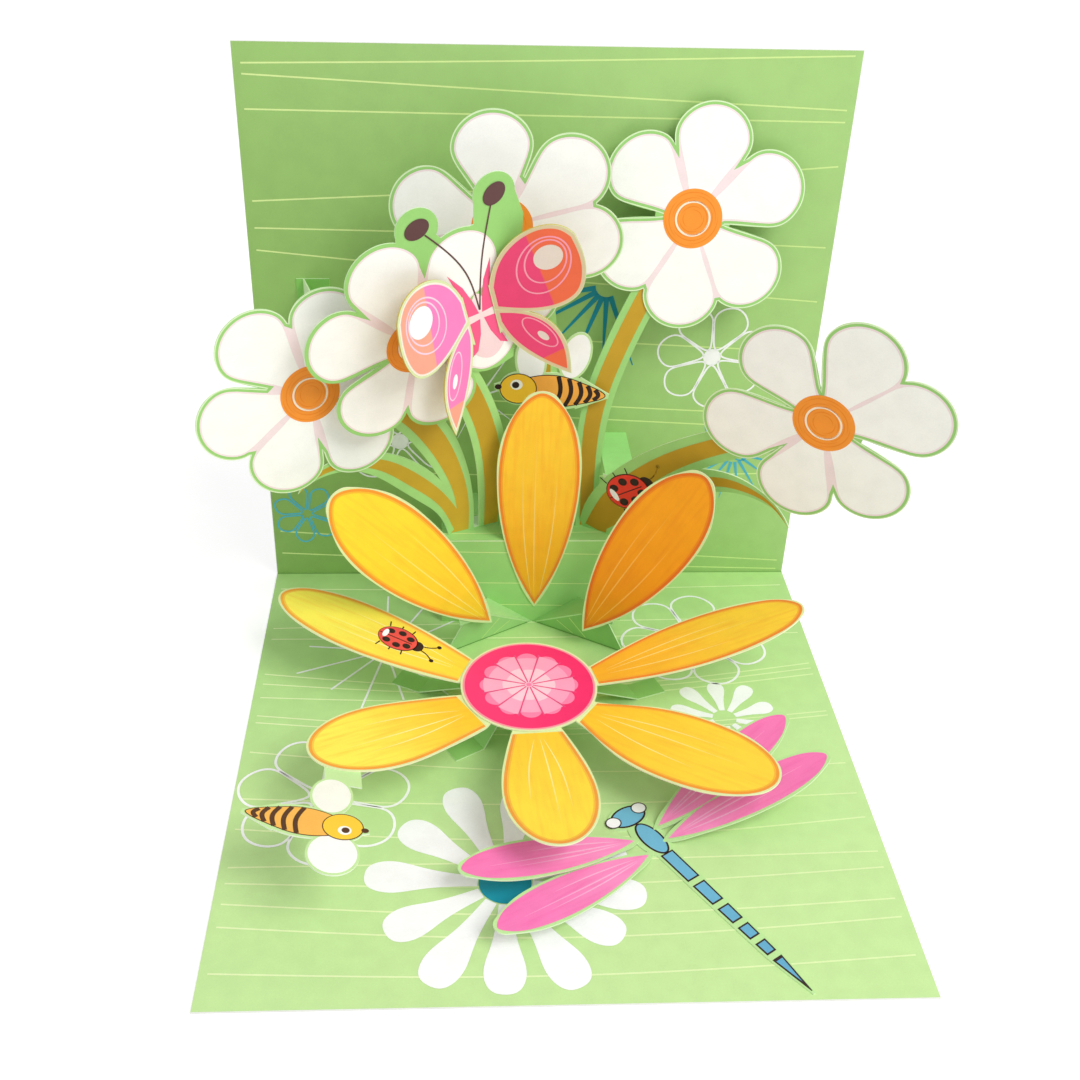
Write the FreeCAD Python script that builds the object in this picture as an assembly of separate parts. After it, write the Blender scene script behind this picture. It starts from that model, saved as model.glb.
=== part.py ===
import FreeCAD, Part
import math
import os

os.makedirs("parts", exist_ok=True)

# A square greeting card, open at a right angle, with a die-cut garden that stands up inside it.
# Millimetres. X runs along the fold, +Y goes back to the fold, +Z is up.
# The origin is the middle of the underside of the lower panel, which lies on the table.

# Card stock
panel_size = 150.0
card_thickness = 0.4
paper_thickness = 0.35
opening_angle = 90.8
garden_shift = -1.4

# Step box that spans the fold
box_width = 50.0
box_height = 27.4
box_depth = 23.9
box_front_y = panel_size / 2 - box_depth
box_flap = 8.0

# Corner gussets in front of the step box
gusset_base_angle = 31.0
gusset_front_angle = 33.0
gusset_spine_angle = 50.0
gusset_spine_length = 27.0
gusset_base_length = 28.0
gusset_front_length = 15.0
gusset_flap = 5.0
gusset_tab = 7.0

# Planes of the stems: how far each is turned about the vertical and tipped back, in degrees
left_turn = 24.0
left_root = (-17.5, box_front_y + 5.8)
left_stem_lean = 0.0
butterfly_stem_lean = -8.0
middle_turn = 0.0
middle_root = (0.0, box_front_y + 11.9)
middle_stem_lean = -2.5
tall_turn = 0.0
tall_root = (12.0, box_front_y + 6.9)
tall_stem_lean = 8.3
right_turn = -33.0
right_root = (14.2, box_front_y + 5.6)
right_stem_lean = -8.0
stem_width = 9.0
tall_stem_width = 7.6
stem_root_width = 6.5
stem_flap = 5.0

# Daisies: six rounded petals, each given by its direction from straight up and its length
daisy_petal_width = 19.4
daisy_core_radius = 9.5
left_daisy_at = (-43.7, 50.1)
left_daisy = ((319, 28.0), (258, 28.4), (202, 27.1), (142, 27.8), (80, 27.5), (17, 27.0))
butterfly_daisy_at = (-19.9, 62.8)
butterfly_daisy = ((279, 27.5), (336, 29.5), (29, 32.0), (95, 27.5), (155, 25.8), (214, 27.0))
top_daisy_at = (-11.4, 84.8)
top_daisy = ((352, 28.4), (50, 30.2), (100, 29.8), (165, 28.0), (228, 27.5), (286, 27.6))
tall_daisy_at = (24.4, 84.1)
tall_daisy = ((11, 28.6), (68, 28.8), (133, 28.6), (185, 28.1), (240, 26.5), (313, 26.2))
right_daisy_at = (60.8, 54.8)
right_daisy = ((317, 26.8), (21, 29.2), (70, 30.4), (138, 27.6), (195, 28.9), (252, 30.5))

# Butterfly, set out from the middle of its body on the daisy sheet that backs it
butterfly_at = (16.65, 5.2)
butterfly_tilt = 17.4
wing_lifts = {-1: 30.0, 1: 20.0}
wing_slot_spacing = 7.2
wing_slot_height = 14.6
wing_slot_gap = 0.25
antenna_knob_radius = 5.2

# Sunflower
disc_radius = 17.0
disc_centre = (-4.5, 9.1)
disc_height = 12.0
petal_root_radius = 4.0
petal_fold_radius = 17.3
upper_petal_width = 21.0
middle_petal_length = 67.0
middle_petal_foot = 5.2
upper_petal_turn = 28.0
upper_petal_lean = 6.0

# Stand under the sunflower: direction of each leg in degrees and how far out its foot ends
stand_hub_radius = 8.0
stand_leg_width = 6.0
stand_foot = 8.0
stand_legs = ((152.0, 38.0), (21.0, 38.0), (211.0, 23.0))

# Struts that tie the flowers to the back panel
strut_width = 8.0
strut_flap = 6.0
right_strut_x = 20.8
right_strut_height = 47.0
left_strut_inset = 12.0
left_strut_above_daisy = 6.1

# Insects
upper_bee_at = (3.2, 39.8)
upper_bee_turn = -6.0
upper_bee_scale = 1.0
lower_bee_at = (54.7, 18.1)
lower_bee_turn = -39.0
lower_bee_scale = 0.9
dragonfly_wing_length = 45.0
dragonfly_wing_width = 11.2

base_top = card_thickness
box_top = base_top + box_height
half_panel = panel_size / 2
left_strut_x = left_strut_inset - half_panel
left_strut_height = box_top + left_daisy_at[1] + left_strut_above_daisy
gutter = FreeCAD.Vector(garden_shift + 0.2, box_front_y, base_top)
deep = 400.0
outline_tolerance = 0.14
ellipse_sides = 36


def vec(x, y, z=0.0):
    return FreeCAD.Vector(x, y, z)


def polar(degrees, length=1.0):
    """A plan direction, counted in degrees from +X towards +Y."""
    angle = math.radians(degrees)
    return vec(length * math.cos(angle), length * math.sin(angle))


def frame(origin, x_axis, y_axis):
    """Placement with local X and Y along the given directions and the sheet's face towards +Z."""
    z_axis = x_axis.cross(y_axis)
    rotation = FreeCAD.Rotation(x_axis, y_axis, z_axis, "XYZ")
    return FreeCAD.Placement(origin, rotation)


def standing(origin, turn, lean):
    """A sheet that stands facing the front, turned about the vertical and tipped back by lean."""
    across = polar(turn)
    back = polar(turn + 90.0)
    tip = math.radians(lean)
    up = vec(0, 0, math.cos(tip)) + back * math.sin(tip)
    return frame(origin, across, up)


def outward(origin, azimuth, rise):
    """A sheet that runs outward along azimuth and climbs by rise degrees, with its face up."""
    along = polar(azimuth, math.cos(math.radians(rise))) + vec(0, 0, math.sin(math.radians(rise)))
    return frame(origin, along, polar(azimuth + 90.0))


def arcs(points, **slopes):
    """A smooth line through the points, made of arcs that meet without a corner."""
    curve = Part.BSplineCurve()
    curve.interpolate([vec(*p) for p in points], **slopes)
    return [arc.toShape() for arc in curve.toBiArcs(outline_tolerance)]


def plate(edges, bottom=0.0, thickness=paper_thickness):
    """A flat sheet with the given closed outline, from local z = bottom upwards."""
    wire = Part.Wire(Part.__sortEdges__(edges))
    face = Part.Face(wire)
    if face.normalAt(0, 0).z < 0:
        face.reverse()
    face.translate(vec(0, 0, bottom))
    return face.extrude(vec(0, 0, thickness))


def polygon_plate(points, bottom=0.0, thickness=paper_thickness):
    corners = [vec(*p) for p in points]
    return plate(Part.makePolygon(corners + corners[:1]).Edges, bottom, thickness)


def ellipse_plate(centre, long_radius, short_radius, turn=0.0, bottom=0.0, thickness=paper_thickness):
    rim = []
    for i in range(ellipse_sides):
        angle = 2 * math.pi * i / ellipse_sides
        rim.append((long_radius * math.cos(angle), short_radius * math.sin(angle)))
    sheet = polygon_plate(rim, bottom, thickness)
    sheet.rotate(vec(0, 0), vec(0, 0, 1), turn)
    sheet.translate(vec(centre[0], centre[1]))
    return sheet


def join(solids):
    """One solid from sheets of the same card that run into each other."""
    whole = solids[0]
    if len(solids) > 1:
        whole = whole.fuse(solids[1:])
    whole = whole.removeSplitter()
    return whole.Solids[0] if len(whole.Solids) == 1 else whole


def placed(shape, placement):
    moved = shape.copy()
    moved.Placement = placement.multiply(moved.Placement)
    return moved


def turned_about(shape, point, axis, degrees):
    moved = shape.copy()
    moved.rotate(point, axis, degrees)
    return moved


def half_space(placement, side):
    """The space on one side of a frame's own plane: +1 in front of it, -1 behind it."""
    block = Part.makeBox(2 * deep, 2 * deep, deep, vec(-deep, -deep, 0 if side > 0 else -deep))
    return placed(block, placement)


def above(height):
    return half_space(FreeCAD.Placement(vec(0, 0, height), FreeCAD.Rotation()), 1)


def folded_strip(points, width, thickness, placement):
    """A strip of card folded along a path in the local XZ plane; the card lies left of the path."""
    path = [vec(x, z) for x, z in points]
    steps = [(b - a).normalize() for a, b in zip(path, path[1:])]
    sides = [vec(-s.y, s.x) for s in steps]
    inner = []
    for i, point in enumerate(path):
        before = sides[max(i - 1, 0)]
        after = sides[min(i, len(sides) - 1)]
        mitre = (before + after).normalize()
        inner.append(point + mitre * (thickness / mitre.dot(after)))
    ring = path + inner[::-1]
    corners = [vec(p.x, -width / 2, p.y) for p in ring]
    face = Part.Face(Part.makePolygon(corners + corners[:1]))
    return placed(face.extrude(vec(0, width, 0)), placement)


def mirrored_edges(side, start_slope):
    """Both sides of a shape along +X from the same half outline, both ending square at its last point."""
    edges = []
    for sign in (1, -1):
        points = [(x, sign * y) for x, y in side]
        edges += arcs(points, InitialTangent=vec(1.0, sign * start_slope), FinalTangent=vec(0, -sign))
    return edges


def petal_edges(length, width, fullest=0.65):
    """A pointed oval along +X: a point at the root, widest past the middle, round at the end."""
    half = width / 2
    return mirrored_edges(((0.0, 0.0),
                           (0.16 * length, 0.48 * half),
                           (0.38 * length, 0.86 * half),
                           (fullest * length, half),
                           (0.84 * length, 0.82 * half),
                           (0.96 * length, 0.42 * half),
                           (length, 0.0)), 0.7)


def blade_edges(start_width, length, width, fullest=0.6):
    """A petal's blade along +X: a straight start at the crease, and round at the end."""
    half = width / 2
    start = vec(0, start_width / 2)
    sides = mirrored_edges(((0.0, start_width / 2),
                            (0.28 * length, 0.86 * half),
                            (fullest * length, half),
                            (0.82 * length, 0.82 * half),
                            (0.965 * length, 0.40 * half),
                            (length, 0.0)), 0.3)
    return sides + [Part.makeLine(start, vec(0, -start_width / 2))]


def round_petal(direction, length):
    """One petal of a daisy, from the flower's middle, direction counted from straight up."""
    half = daisy_petal_width / 2
    side = ((0.0, 0.22 * half), (0.26 * length, 0.47 * half), (0.5 * length, 0.81 * half),
            (0.7 * length, half), (0.92 * length, 0.66 * half))
    right = [(x, -y) for x, y in side]
    rim = list(side) + [(length, 0.0)] + right[::-1]
    closing = Part.makeLine(vec(*rim[-1]), vec(*rim[0]))
    petal = plate(arcs(rim) + [closing])
    petal.rotate(vec(0, 0), vec(0, 0, 1), 90.0 - direction)
    return petal


def daisy_sheet(petals, centre):
    core = ellipse_plate((0, 0), daisy_core_radius, daisy_core_radius)
    flower = join([core] + [round_petal(*petal) for petal in petals])
    flower.translate(vec(*centre))
    return flower


def stem(centreline, widths):
    """A curved stem with a straight cut at each end, given by its centre line and its widths."""
    left, right = [], []
    for i, point in enumerate(centreline):
        before = centreline[max(i - 1, 0)]
        after = centreline[min(i + 1, len(centreline) - 1)]
        along = vec(after[0] - before[0], after[1] - before[1]).normalize()
        side = vec(-along.y, along.x) * (widths[i] / 2)
        left.append(vec(*point) + side)
        right.append(vec(*point) - side)
    ends = [Part.makeLine(left[0], right[0]), Part.makeLine(left[-1], right[-1])]
    return plate(arcs(left) + arcs(right) + ends, -paper_thickness)


def leaf(upper, lower):
    """A long curved leaf: two smooth sides from its tip to its root, and a straight root."""
    root = Part.makeLine(vec(*upper[-1]), vec(*lower[-1]))
    return plate(arcs(upper) + arcs(lower) + [root], -paper_thickness)


def root_flap(placement, start, end):
    """The flap at a stem sheet's foot, folded back and glued to the step box."""
    across = placement.Rotation.multVec(vec(1, 0, 0))
    back = vec(0, 0, 1).cross(across)
    flat = frame(placement.Base, across, back)
    inset = 1.0
    corners = [(start, 0), (end, 0), (end - inset, stem_flap), (start + inset, stem_flap)]
    return placed(polygon_plate(corners), flat)


def save(name, shape):
    shape.exportStep("parts/" + name + ".step")
    print(name, "solids", len(shape.Solids), "valid", shape.isValid(), "volume", round(shape.Volume, 2))


# Folded card: one sheet with the fold as a rounded outer corner
rise = math.radians(opening_angle)
back_up = vec(0, -math.cos(rise), math.sin(rise))
back_out = vec(0, back_up.z, -back_up.y)
fold_line = vec(0, half_panel, base_top)
low_back = fold_line + back_out * card_thickness
fold_middle = fold_line + (back_out - vec(0, 0, 1)).normalize() * card_thickness
card_edges = [
    Part.makeLine(vec(0, -half_panel, 0), vec(0, half_panel, 0)),
    Part.Arc(vec(0, half_panel, 0), fold_middle, low_back).toShape(),
    Part.makeLine(low_back, low_back + back_up * panel_size),
    Part.makeLine(low_back + back_up * panel_size, fold_line + back_up * panel_size),
    Part.makeLine(fold_line + back_up * panel_size, fold_line),
    Part.makeLine(fold_line, vec(0, -half_panel, base_top)),
    Part.makeLine(vec(0, -half_panel, base_top), vec(0, -half_panel, 0)),
]
card_face = Part.Face(Part.Wire(card_edges))
card_face.translate(vec(-half_panel, 0, 0))
card = card_face.extrude(vec(panel_size, 0, 0))
save("card_sheet", card)

back_plane = frame(fold_line, vec(1, 0, 0), back_up)
in_front_of_back = half_space(back_plane, 1)


def back_face_y(height):
    """Where the inner face of the back panel is at a height above the table."""
    return half_panel + (height - base_top) * back_up.y / back_up.z


# Step box: front, top and two glue flaps that are folded inside it
box_path = [
    (box_front_y + box_flap, base_top),
    (box_front_y, base_top),
    (box_front_y, box_top),
    (back_face_y(box_top), box_top),
    (back_face_y(box_top - box_flap), box_top - box_flap),
]
box_frame = FreeCAD.Placement(vec(garden_shift, 0, 0), FreeCAD.Rotation(vec(0, 0, 1), 90))
step_box = folded_strip(box_path[::-1], box_width, paper_thickness, box_frame)
save("step_box", step_box)

# Upper side petals of the sunflower stand in front of the gussets' spines
spine_rise = math.sin(math.radians(gusset_spine_angle)) / math.sqrt(2)
spine_run = math.cos(math.radians(gusset_spine_angle))


def spine_end(side):
    return gutter + vec(side * spine_run, -spine_rise, spine_rise) * gusset_spine_length


def upper_petal_frame(side):
    return standing(spine_end(side), -side * upper_petal_turn, upper_petal_lean)


# Corner gussets: two triangles that meet in a spine, two glue flaps and a tab behind the petal
def triangle_sheet(a, b, c):
    """A triangle of card whose thickness lies to the right of a to b to c."""
    face = Part.Face(Part.makePolygon([a, b, c, a]))
    normal = (b - a).cross(c - a).normalize()
    return face.extrude(normal * -paper_thickness)


def gusset(side):
    end = spine_end(side)
    base_end = gutter + polar(-gusset_base_angle, gusset_base_length).scale(side, 1, 1)
    climb = math.radians(gusset_front_angle)
    front_end = gutter + vec(side * math.cos(climb), 0, math.sin(climb)) * gusset_front_length
    if side < 0:
        lower = triangle_sheet(gutter, end, base_end)
        upper = triangle_sheet(gutter, front_end, end)
    else:
        lower = triangle_sheet(gutter, base_end, end)
        upper = triangle_sheet(gutter, end, front_end)
    inner_base = base_end + vec(0, gusset_flap)
    base_flap = Part.Face(Part.makePolygon([gutter, base_end, inner_base, gutter]))
    base_flap = base_flap.extrude(vec(0, 0, paper_thickness))
    inner_front = front_end - vec(0, 0, gusset_flap)
    front_flap = Part.Face(Part.makePolygon([gutter, front_end, inner_front, gutter]))
    front_flap = front_flap.extrude(vec(0, -paper_thickness, 0))
    petal_frame = upper_petal_frame(side)
    half = gusset_tab / 2
    corners = [(-half, -half), (half, -half), (half, half), (-half, half)]
    tab = placed(polygon_plate(corners, -paper_thickness), petal_frame)
    room = above(base_top).common(half_space(petal_frame, -1))
    in_front_of_box = Part.makeBox(2 * deep, deep, 2 * deep, vec(-deep, box_front_y - deep, -deep))
    folded = join([lower, upper, base_flap, front_flap, tab])
    return folded.common(room).common(in_front_of_box).removeSplitter()


save("left_gusset", gusset(-1))
save("right_gusset", gusset(1))


# Upper petals: two on the gussets and one on the face of the step box
def upper_petal(side, foot, direction, length):
    petal = plate(petal_edges(length, upper_petal_width))
    petal.rotate(vec(0, 0), vec(0, 0, 1), direction)
    petal.translate(vec(*foot))
    return placed(petal, upper_petal_frame(side))


save("petal_upper_left", upper_petal(-1, (5.9, -5.5), 130.0, 64.5))
save("petal_upper_right", upper_petal(1, (-4.7, -8.1), 63.0, 60.5))

middle_petal = plate(petal_edges(middle_petal_length, upper_petal_width + 1.0))
middle_petal.rotate(vec(0, 0), vec(0, 0, 1), 90.0)
middle_foot = vec(garden_shift + 0.6, box_front_y, base_top + middle_petal_foot)
save("petal_back", placed(middle_petal, standing(middle_foot, 0.0, 0.0)))

# Lower petals: glued under the disc, creased at its rim and rising outward
petal_level = base_top + disc_height - 2 * paper_thickness
hub = vec(disc_centre[0], disc_centre[1], petal_level)
lower_petals = {
    "petal_left": (158.5, 12.0, 52.0, 18.5, 10.0),
    "petal_lower_left": (212.5, 10.0, 43.5, 22.5, 14.0),
    "petal_front": (274.0, 7.0, 40.5, 21.5, 12.8),
    "petal_lower_right": (324.0, 5.0, 49.5, 24.0, 9.2),
    "petal_right": (13.0, 12.5, 57.0, 18.0, 7.6),
}


def lower_petal(azimuth, climb, blade_length, width, crease):
    root = polygon_plate([(petal_root_radius, -1.2), (petal_fold_radius, -crease / 2),
                          (petal_fold_radius, crease / 2), (petal_root_radius, 1.2)])
    blade = plate(blade_edges(crease, blade_length, width))
    blade.rotate(vec(0, 0), vec(0, -1, 0), climb)
    blade.translate(vec(petal_fold_radius, 0))
    petal = join([root, blade])
    return placed(petal, outward(hub, azimuth, 0.0))


for name, sizes in lower_petals.items():
    save(name, lower_petal(*sizes))

disc = Part.makeCylinder(disc_radius, paper_thickness)
disc.translate(vec(disc_centre[0], disc_centre[1], petal_level + paper_thickness))
save("centre_disc", disc)

# Stand: a hub under the petals' roots with four legs folded down to glued feet
hub_top = petal_level
hub_plate = Part.makeCylinder(stand_hub_radius, paper_thickness)
hub_plate.translate(vec(disc_centre[0], disc_centre[1], hub_top - paper_thickness))
stand_parts = [hub_plate]
for azimuth, reach in stand_legs:
    leg_path = [
        (0.0, hub_top),
        (stand_hub_radius, hub_top),
        (reach - stand_foot, base_top + paper_thickness),
        (reach, base_top + paper_thickness),
    ]
    leg_frame = FreeCAD.Placement(vec(*disc_centre), FreeCAD.Rotation(vec(0, 0, 1), azimuth))
    stand_parts.append(folded_strip(leg_path[::-1], stand_leg_width, paper_thickness, leg_frame))
save("flower_stand", join(stand_parts))

# Stem sheets: stems and leaves of one sheet share the crease on top of the step box
on_box = above(box_top)
left_frame = standing(vec(*left_root, box_top), left_turn, left_stem_lean)
butterfly_frame = standing(vec(*left_root, box_top), left_turn, butterfly_stem_lean)
middle_frame = standing(vec(*middle_root, box_top), middle_turn, middle_stem_lean)
tall_frame = standing(vec(*tall_root, box_top), tall_turn, tall_stem_lean)
right_frame = standing(vec(*right_root, box_top), right_turn, right_stem_lean)

left_stem = stem(
    [(-3.6, -1.0), (-3.6, 9.0), (-7.0, 21.5), (-13.2, 33.0), (-22.0, 42.0), (-33.0, 47.5), left_daisy_at],
    [stem_root_width, stem_root_width, 8.5, stem_width + 1, stem_width, stem_width, stem_width],
)
left_leaf = leaf(
    [(-48.4, 23.0), (-44.1, 28.0), (-36.4, 30.8), (-26.2, 29.8), (-14.0, 22.1), (-7.9, 15.2), (-2.4, 7.2)],
    [(-48.4, 23.0), (-41.9, 26.3), (-33.8, 26.1), (-27.8, 23.2), (-20.6, 16.8), (-10.6, 6.9), (-7.5, -1.0)],
)
butterfly_stem = stem(
    [(4.9, -1.0), (4.4, 16.3), (0.6, 33.9), (-4.6, 46.0), (-11.0, 55.5), butterfly_daisy_at],
    [7.0, stem_width, stem_width, stem_width, stem_width, stem_width],
)
left_sheet = join([
    placed(join([left_stem, left_leaf]), left_frame),
    placed(butterfly_stem, butterfly_frame),
    root_flap(left_frame, -7.7, 8.4),
])
save("left_stem_sheet", left_sheet.common(on_box).removeSplitter())

middle_stem = stem(
    [(2.0, -1.0), (0.6, 24.0), (-0.4, 46.0), (-1.6, 62.0), (-5.2, 75.0), top_daisy_at],
    [7.0, 8.0, 8.0, 8.0, 8.0, 8.0],
)
middle_sheet = join([placed(middle_stem, middle_frame), root_flap(middle_frame, -1.5, 5.5)])
save("middle_stem_sheet", middle_sheet.common(on_box).removeSplitter())

tall_stem = stem(
    [(1.0, -1.0), (1.0, 14.0), (2.2, 33.0), (5.4, 44.5), (10.2, 56.5), (16.6, 70.0), tall_daisy_at],
    [5.5, 6.5] + [tall_stem_width] * 5,
)
right_stem = stem(
    [(0.5, -1.0), (6.5, 12.0), (14.0, 21.5), (23.0, 30.5), (33.0, 38.0), (46.0, 46.0), right_daisy_at],
    [8.5, 11.0, 11.0, 10.0, stem_width, stem_width, stem_width],
)
ladybird_patch = ellipse_plate((11.4, 16.6), 9.0, 6.8, 38.0, -paper_thickness)
right_leaf = leaf(
    [(55.4, 21.3), (51.5, 27.0), (45.4, 30.9), (38.0, 32.4), (30.8, 31.1), (19.0, 23.0), (4.0, 9.0)],
    [(55.4, 21.3), (48.8, 26.8), (43.0, 27.3), (35.6, 25.7), (26.0, 18.5), (15.0, 8.0), (5.5, -1.0)],
)
right_sheet = join([
    placed(tall_stem, tall_frame),
    placed(join([right_stem, ladybird_patch, right_leaf]), right_frame),
    root_flap(right_frame, -4.5, 6.5),
])
save("right_stem_sheet", right_sheet.common(on_box).removeSplitter())

# Daisies: each is glued to the front of its stem
save("daisy_left", placed(daisy_sheet(left_daisy, left_daisy_at), left_frame))
save("daisy_top", placed(daisy_sheet(top_daisy, top_daisy_at), middle_frame))
save("daisy_tall", placed(daisy_sheet(tall_daisy, tall_daisy_at), tall_frame))
save("daisy_right", placed(daisy_sheet(right_daisy, right_daisy_at), right_frame))

# Butterfly daisy: its sheet also carries the butterfly's body and has a slot beside the body's each side
butterfly_centre = vec(butterfly_daisy_at[0] + butterfly_at[0], butterfly_daisy_at[1] + butterfly_at[1])
butterfly_in_sheet = FreeCAD.Placement(butterfly_centre, FreeCAD.Rotation(vec(0, 0, 1), butterfly_tilt))
slot_width = paper_thickness + 2 * wing_slot_gap
slot_height = wing_slot_height + 2 * wing_slot_gap
slots = []
for side in (-1, 1):
    x = side * wing_slot_spacing / 2
    corner = vec(x - slot_width / 2, -slot_height / 2, -1)
    slots.append(placed(Part.makeBox(slot_width, slot_height, 3), butterfly_in_sheet.multiply(
        FreeCAD.Placement(corner, FreeCAD.Rotation()))))
left_knob = ellipse_plate((-1.0, 30.2), antenna_knob_radius, antenna_knob_radius)
right_knob = ellipse_plate((17.4, 36.4), antenna_knob_radius, antenna_knob_radius)
backing = polygon_plate([(-5.6, 14.0), (-5.8, 28.5), (3.6, 28.5), (6.0, 26.3), (9.7, 28.4), (13.0, 29.4),
                         (12.6, 35.0), (22.2, 37.5), (25.4, 30.5), (26.2, 8.0), (26.5, -8.4),
                         (22.0, -10.8), (8.0, -8.0)])
for piece in (left_knob, right_knob, backing):
    piece.translate(vec(*butterfly_daisy_at))
butterfly_sheet = join([daisy_sheet(butterfly_daisy, butterfly_daisy_at), backing, left_knob, right_knob])
butterfly_sheet = butterfly_sheet.cut(slots[0]).cut(slots[1])
save("daisy_butterfly", placed(butterfly_sheet, butterfly_frame))

# Butterfly wings: one strip threaded through the slots, with a pair of wings folded up at each side
fore_wing = [(0.0, 6.6), (2.2, 12.2), (5.3, 16.2), (9.8, 19.2), (14.8, 20.3), (19.5, 18.8), (22.0, 16.0)]
fore_wing_edge = [(22.0, 16.0), (23.2, 10.0), (22.9, 4.0), (20.6, -0.8), (17.2, -2.8), (12.0, -3.4),
                  (6.0, -2.2), (0.0, 0.0)]
hind_wing = [(0.0, 0.0), (6.0, -1.8), (11.6, -6.0), (14.6, -11.8), (15.4, -17.5), (14.8, -24.6)]
hind_wing_edge = [(14.8, -24.6), (11.0, -21.4), (6.4, -16.6), (2.9, -11.6), (0.9, -7.2), (0.0, -4.0)]


def wing_blade(side):
    fore = plate(arcs(fore_wing) + arcs(fore_wing_edge) + [Part.makeLine(vec(0, 6.6), vec(0, 0))])
    hind = plate(arcs(hind_wing) + arcs(hind_wing_edge) + [Part.makeLine(vec(0, 0), vec(0, -4.0))])
    root = polygon_plate([(-0.1, -wing_slot_height / 2), (1.6, -wing_slot_height / 2 + 1.5),
                          (1.6, wing_slot_height / 2 - 1.0), (-0.1, wing_slot_height / 2)])
    blade = join([fore, hind, root])
    blade.rotate(vec(0, 0), vec(0, -1, 0), wing_lifts[side])
    if side < 0:
        blade = blade.mirror(vec(0, 0), vec(1, 0, 0))
    blade.translate(vec(side * wing_slot_spacing / 2, 0, paper_thickness))
    return blade


wing_parts = []
for side in (-1, 1):
    wing_parts.append(wing_blade(side))
    inner_x = side * wing_slot_spacing / 2 - paper_thickness / 2
    web = Part.makeBox(paper_thickness, wing_slot_height, 2.6 * paper_thickness,
                       vec(inner_x, -wing_slot_height / 2, -paper_thickness))
    wing_parts.append(web)
bridge_width = wing_slot_spacing + paper_thickness
wing_parts.append(Part.makeBox(bridge_width, wing_slot_height, paper_thickness,
                               vec(-bridge_width / 2, -wing_slot_height / 2, -paper_thickness)))
wings = join(wing_parts)
save("butterfly_wings", placed(wings, butterfly_frame.multiply(butterfly_in_sheet)))


# Bees: a head, a tapering striped body with a sting, and two wings, cut as one sheet
def bee_sheet(size, wing_places):
    body = ellipse_plate((0.0, 0.0), 10.0, 5.4)
    head = ellipse_plate((-9.4, -0.2), 5.2, 4.9)
    nose = polygon_plate([(-13.5, 1.6), (-16.0, 0.4), (-15.8, -0.9), (-13.0, -2.6)])
    sting = polygon_plate([(6.0, 4.8), (14.2, 0.6), (14.2, -0.6), (6.0, -4.8)])
    wings = [ellipse_plate((x, y), long_radius, short_radius, turn)
             for x, y, long_radius, short_radius, turn in wing_places]
    sheet = join([body, head, nose, sting] + wings)
    scaling = FreeCAD.Matrix()
    scaling.scale(size, size, 1.0)
    return sheet.transformGeometry(scaling)


upper_bee = bee_sheet(upper_bee_scale, [(3.8, 10.6, 4.1, 7.0, -8.0), (-7.4, 8.0, 4.1, 7.0, 12.0)])
upper_bee.rotate(vec(0, 0), vec(0, 0, 1), upper_bee_turn)
upper_bee.translate(vec(*upper_bee_at))
save("upper_bee", placed(upper_bee, middle_frame))

# Lower bee: it rides on a tongue that is glued under a petal's blade
azimuth, climb = lower_petals["petal_lower_left"][:2]
crease = hub + polar(azimuth, petal_fold_radius)
under_petal = outward(crease, azimuth, climb)
bee = bee_sheet(lower_bee_scale, [(-5.0, -10.4, 5.2, 6.6, 10.0), (-8.9, 9.0, 6.2, 6.9, 10.0)])
bee.rotate(vec(0, 0), vec(0, 0, 1), lower_bee_turn)
bee.translate(vec(*lower_bee_at, -paper_thickness))
tongue = polygon_plate([(31.5, 1.0), (38.5, -3.0), (44.5, 9.0), (38.0, 14.0)], -paper_thickness)
save("lower_bee", placed(join([bee, tongue]), under_petal))

# Dragonfly: the body is glued flat on the card and the four wings are creased up from it
dragonfly_level = vec(0, 0, base_top)
body_direction = -57.0
thorax = ellipse_plate((21.5, -31.0), 6.6, 3.8, body_direction)
head = ellipse_plate((17.2, -24.6), 5.4, 3.6, 33.0)
neck = ellipse_plate((18.8, -27.0), 3.0, 2.2, body_direction)
tail_start = vec(23.6, -34.2)
tail_end = vec(49.4, -73.6)
along_tail = (tail_end - tail_start).normalize()
across_tail = vec(-along_tail.y, along_tail.x)
tail_steps = ((0.0, 2.3), (0.45, 2.1), (0.75, 1.8), (1.0, 0.35))
tail_length = (tail_end - tail_start).Length
left_side = [tail_start + along_tail * (t * tail_length) + across_tail * w for t, w in tail_steps]
right_side = [tail_start + along_tail * (t * tail_length) - across_tail * w for t, w in tail_steps]
tail = polygon_plate([(p.x, p.y) for p in left_side + right_side[::-1]])
dragonfly_wings = (
    ((22.6, -28.8), 36.5, 15.5),
    ((24.2, -32.4), 21.5, 15.0),
    ((19.2, -31.8), 200.5, 10.5),
    ((21.8, -35.6), 215.0, 7.5),
)
dragonfly_parts = [thorax, head, neck, tail]
for place in dragonfly_parts:
    place.translate(dragonfly_level)
for root, azimuth, lift in dragonfly_wings:
    wing = plate(petal_edges(dragonfly_wing_length, dragonfly_wing_width, fullest=0.6))
    dragonfly_parts.append(placed(wing, outward(vec(*root, base_top), azimuth, lift)))
dragonfly = join(dragonfly_parts)
save("dragonfly", dragonfly.common(above(base_top)).removeSplitter())

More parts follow.
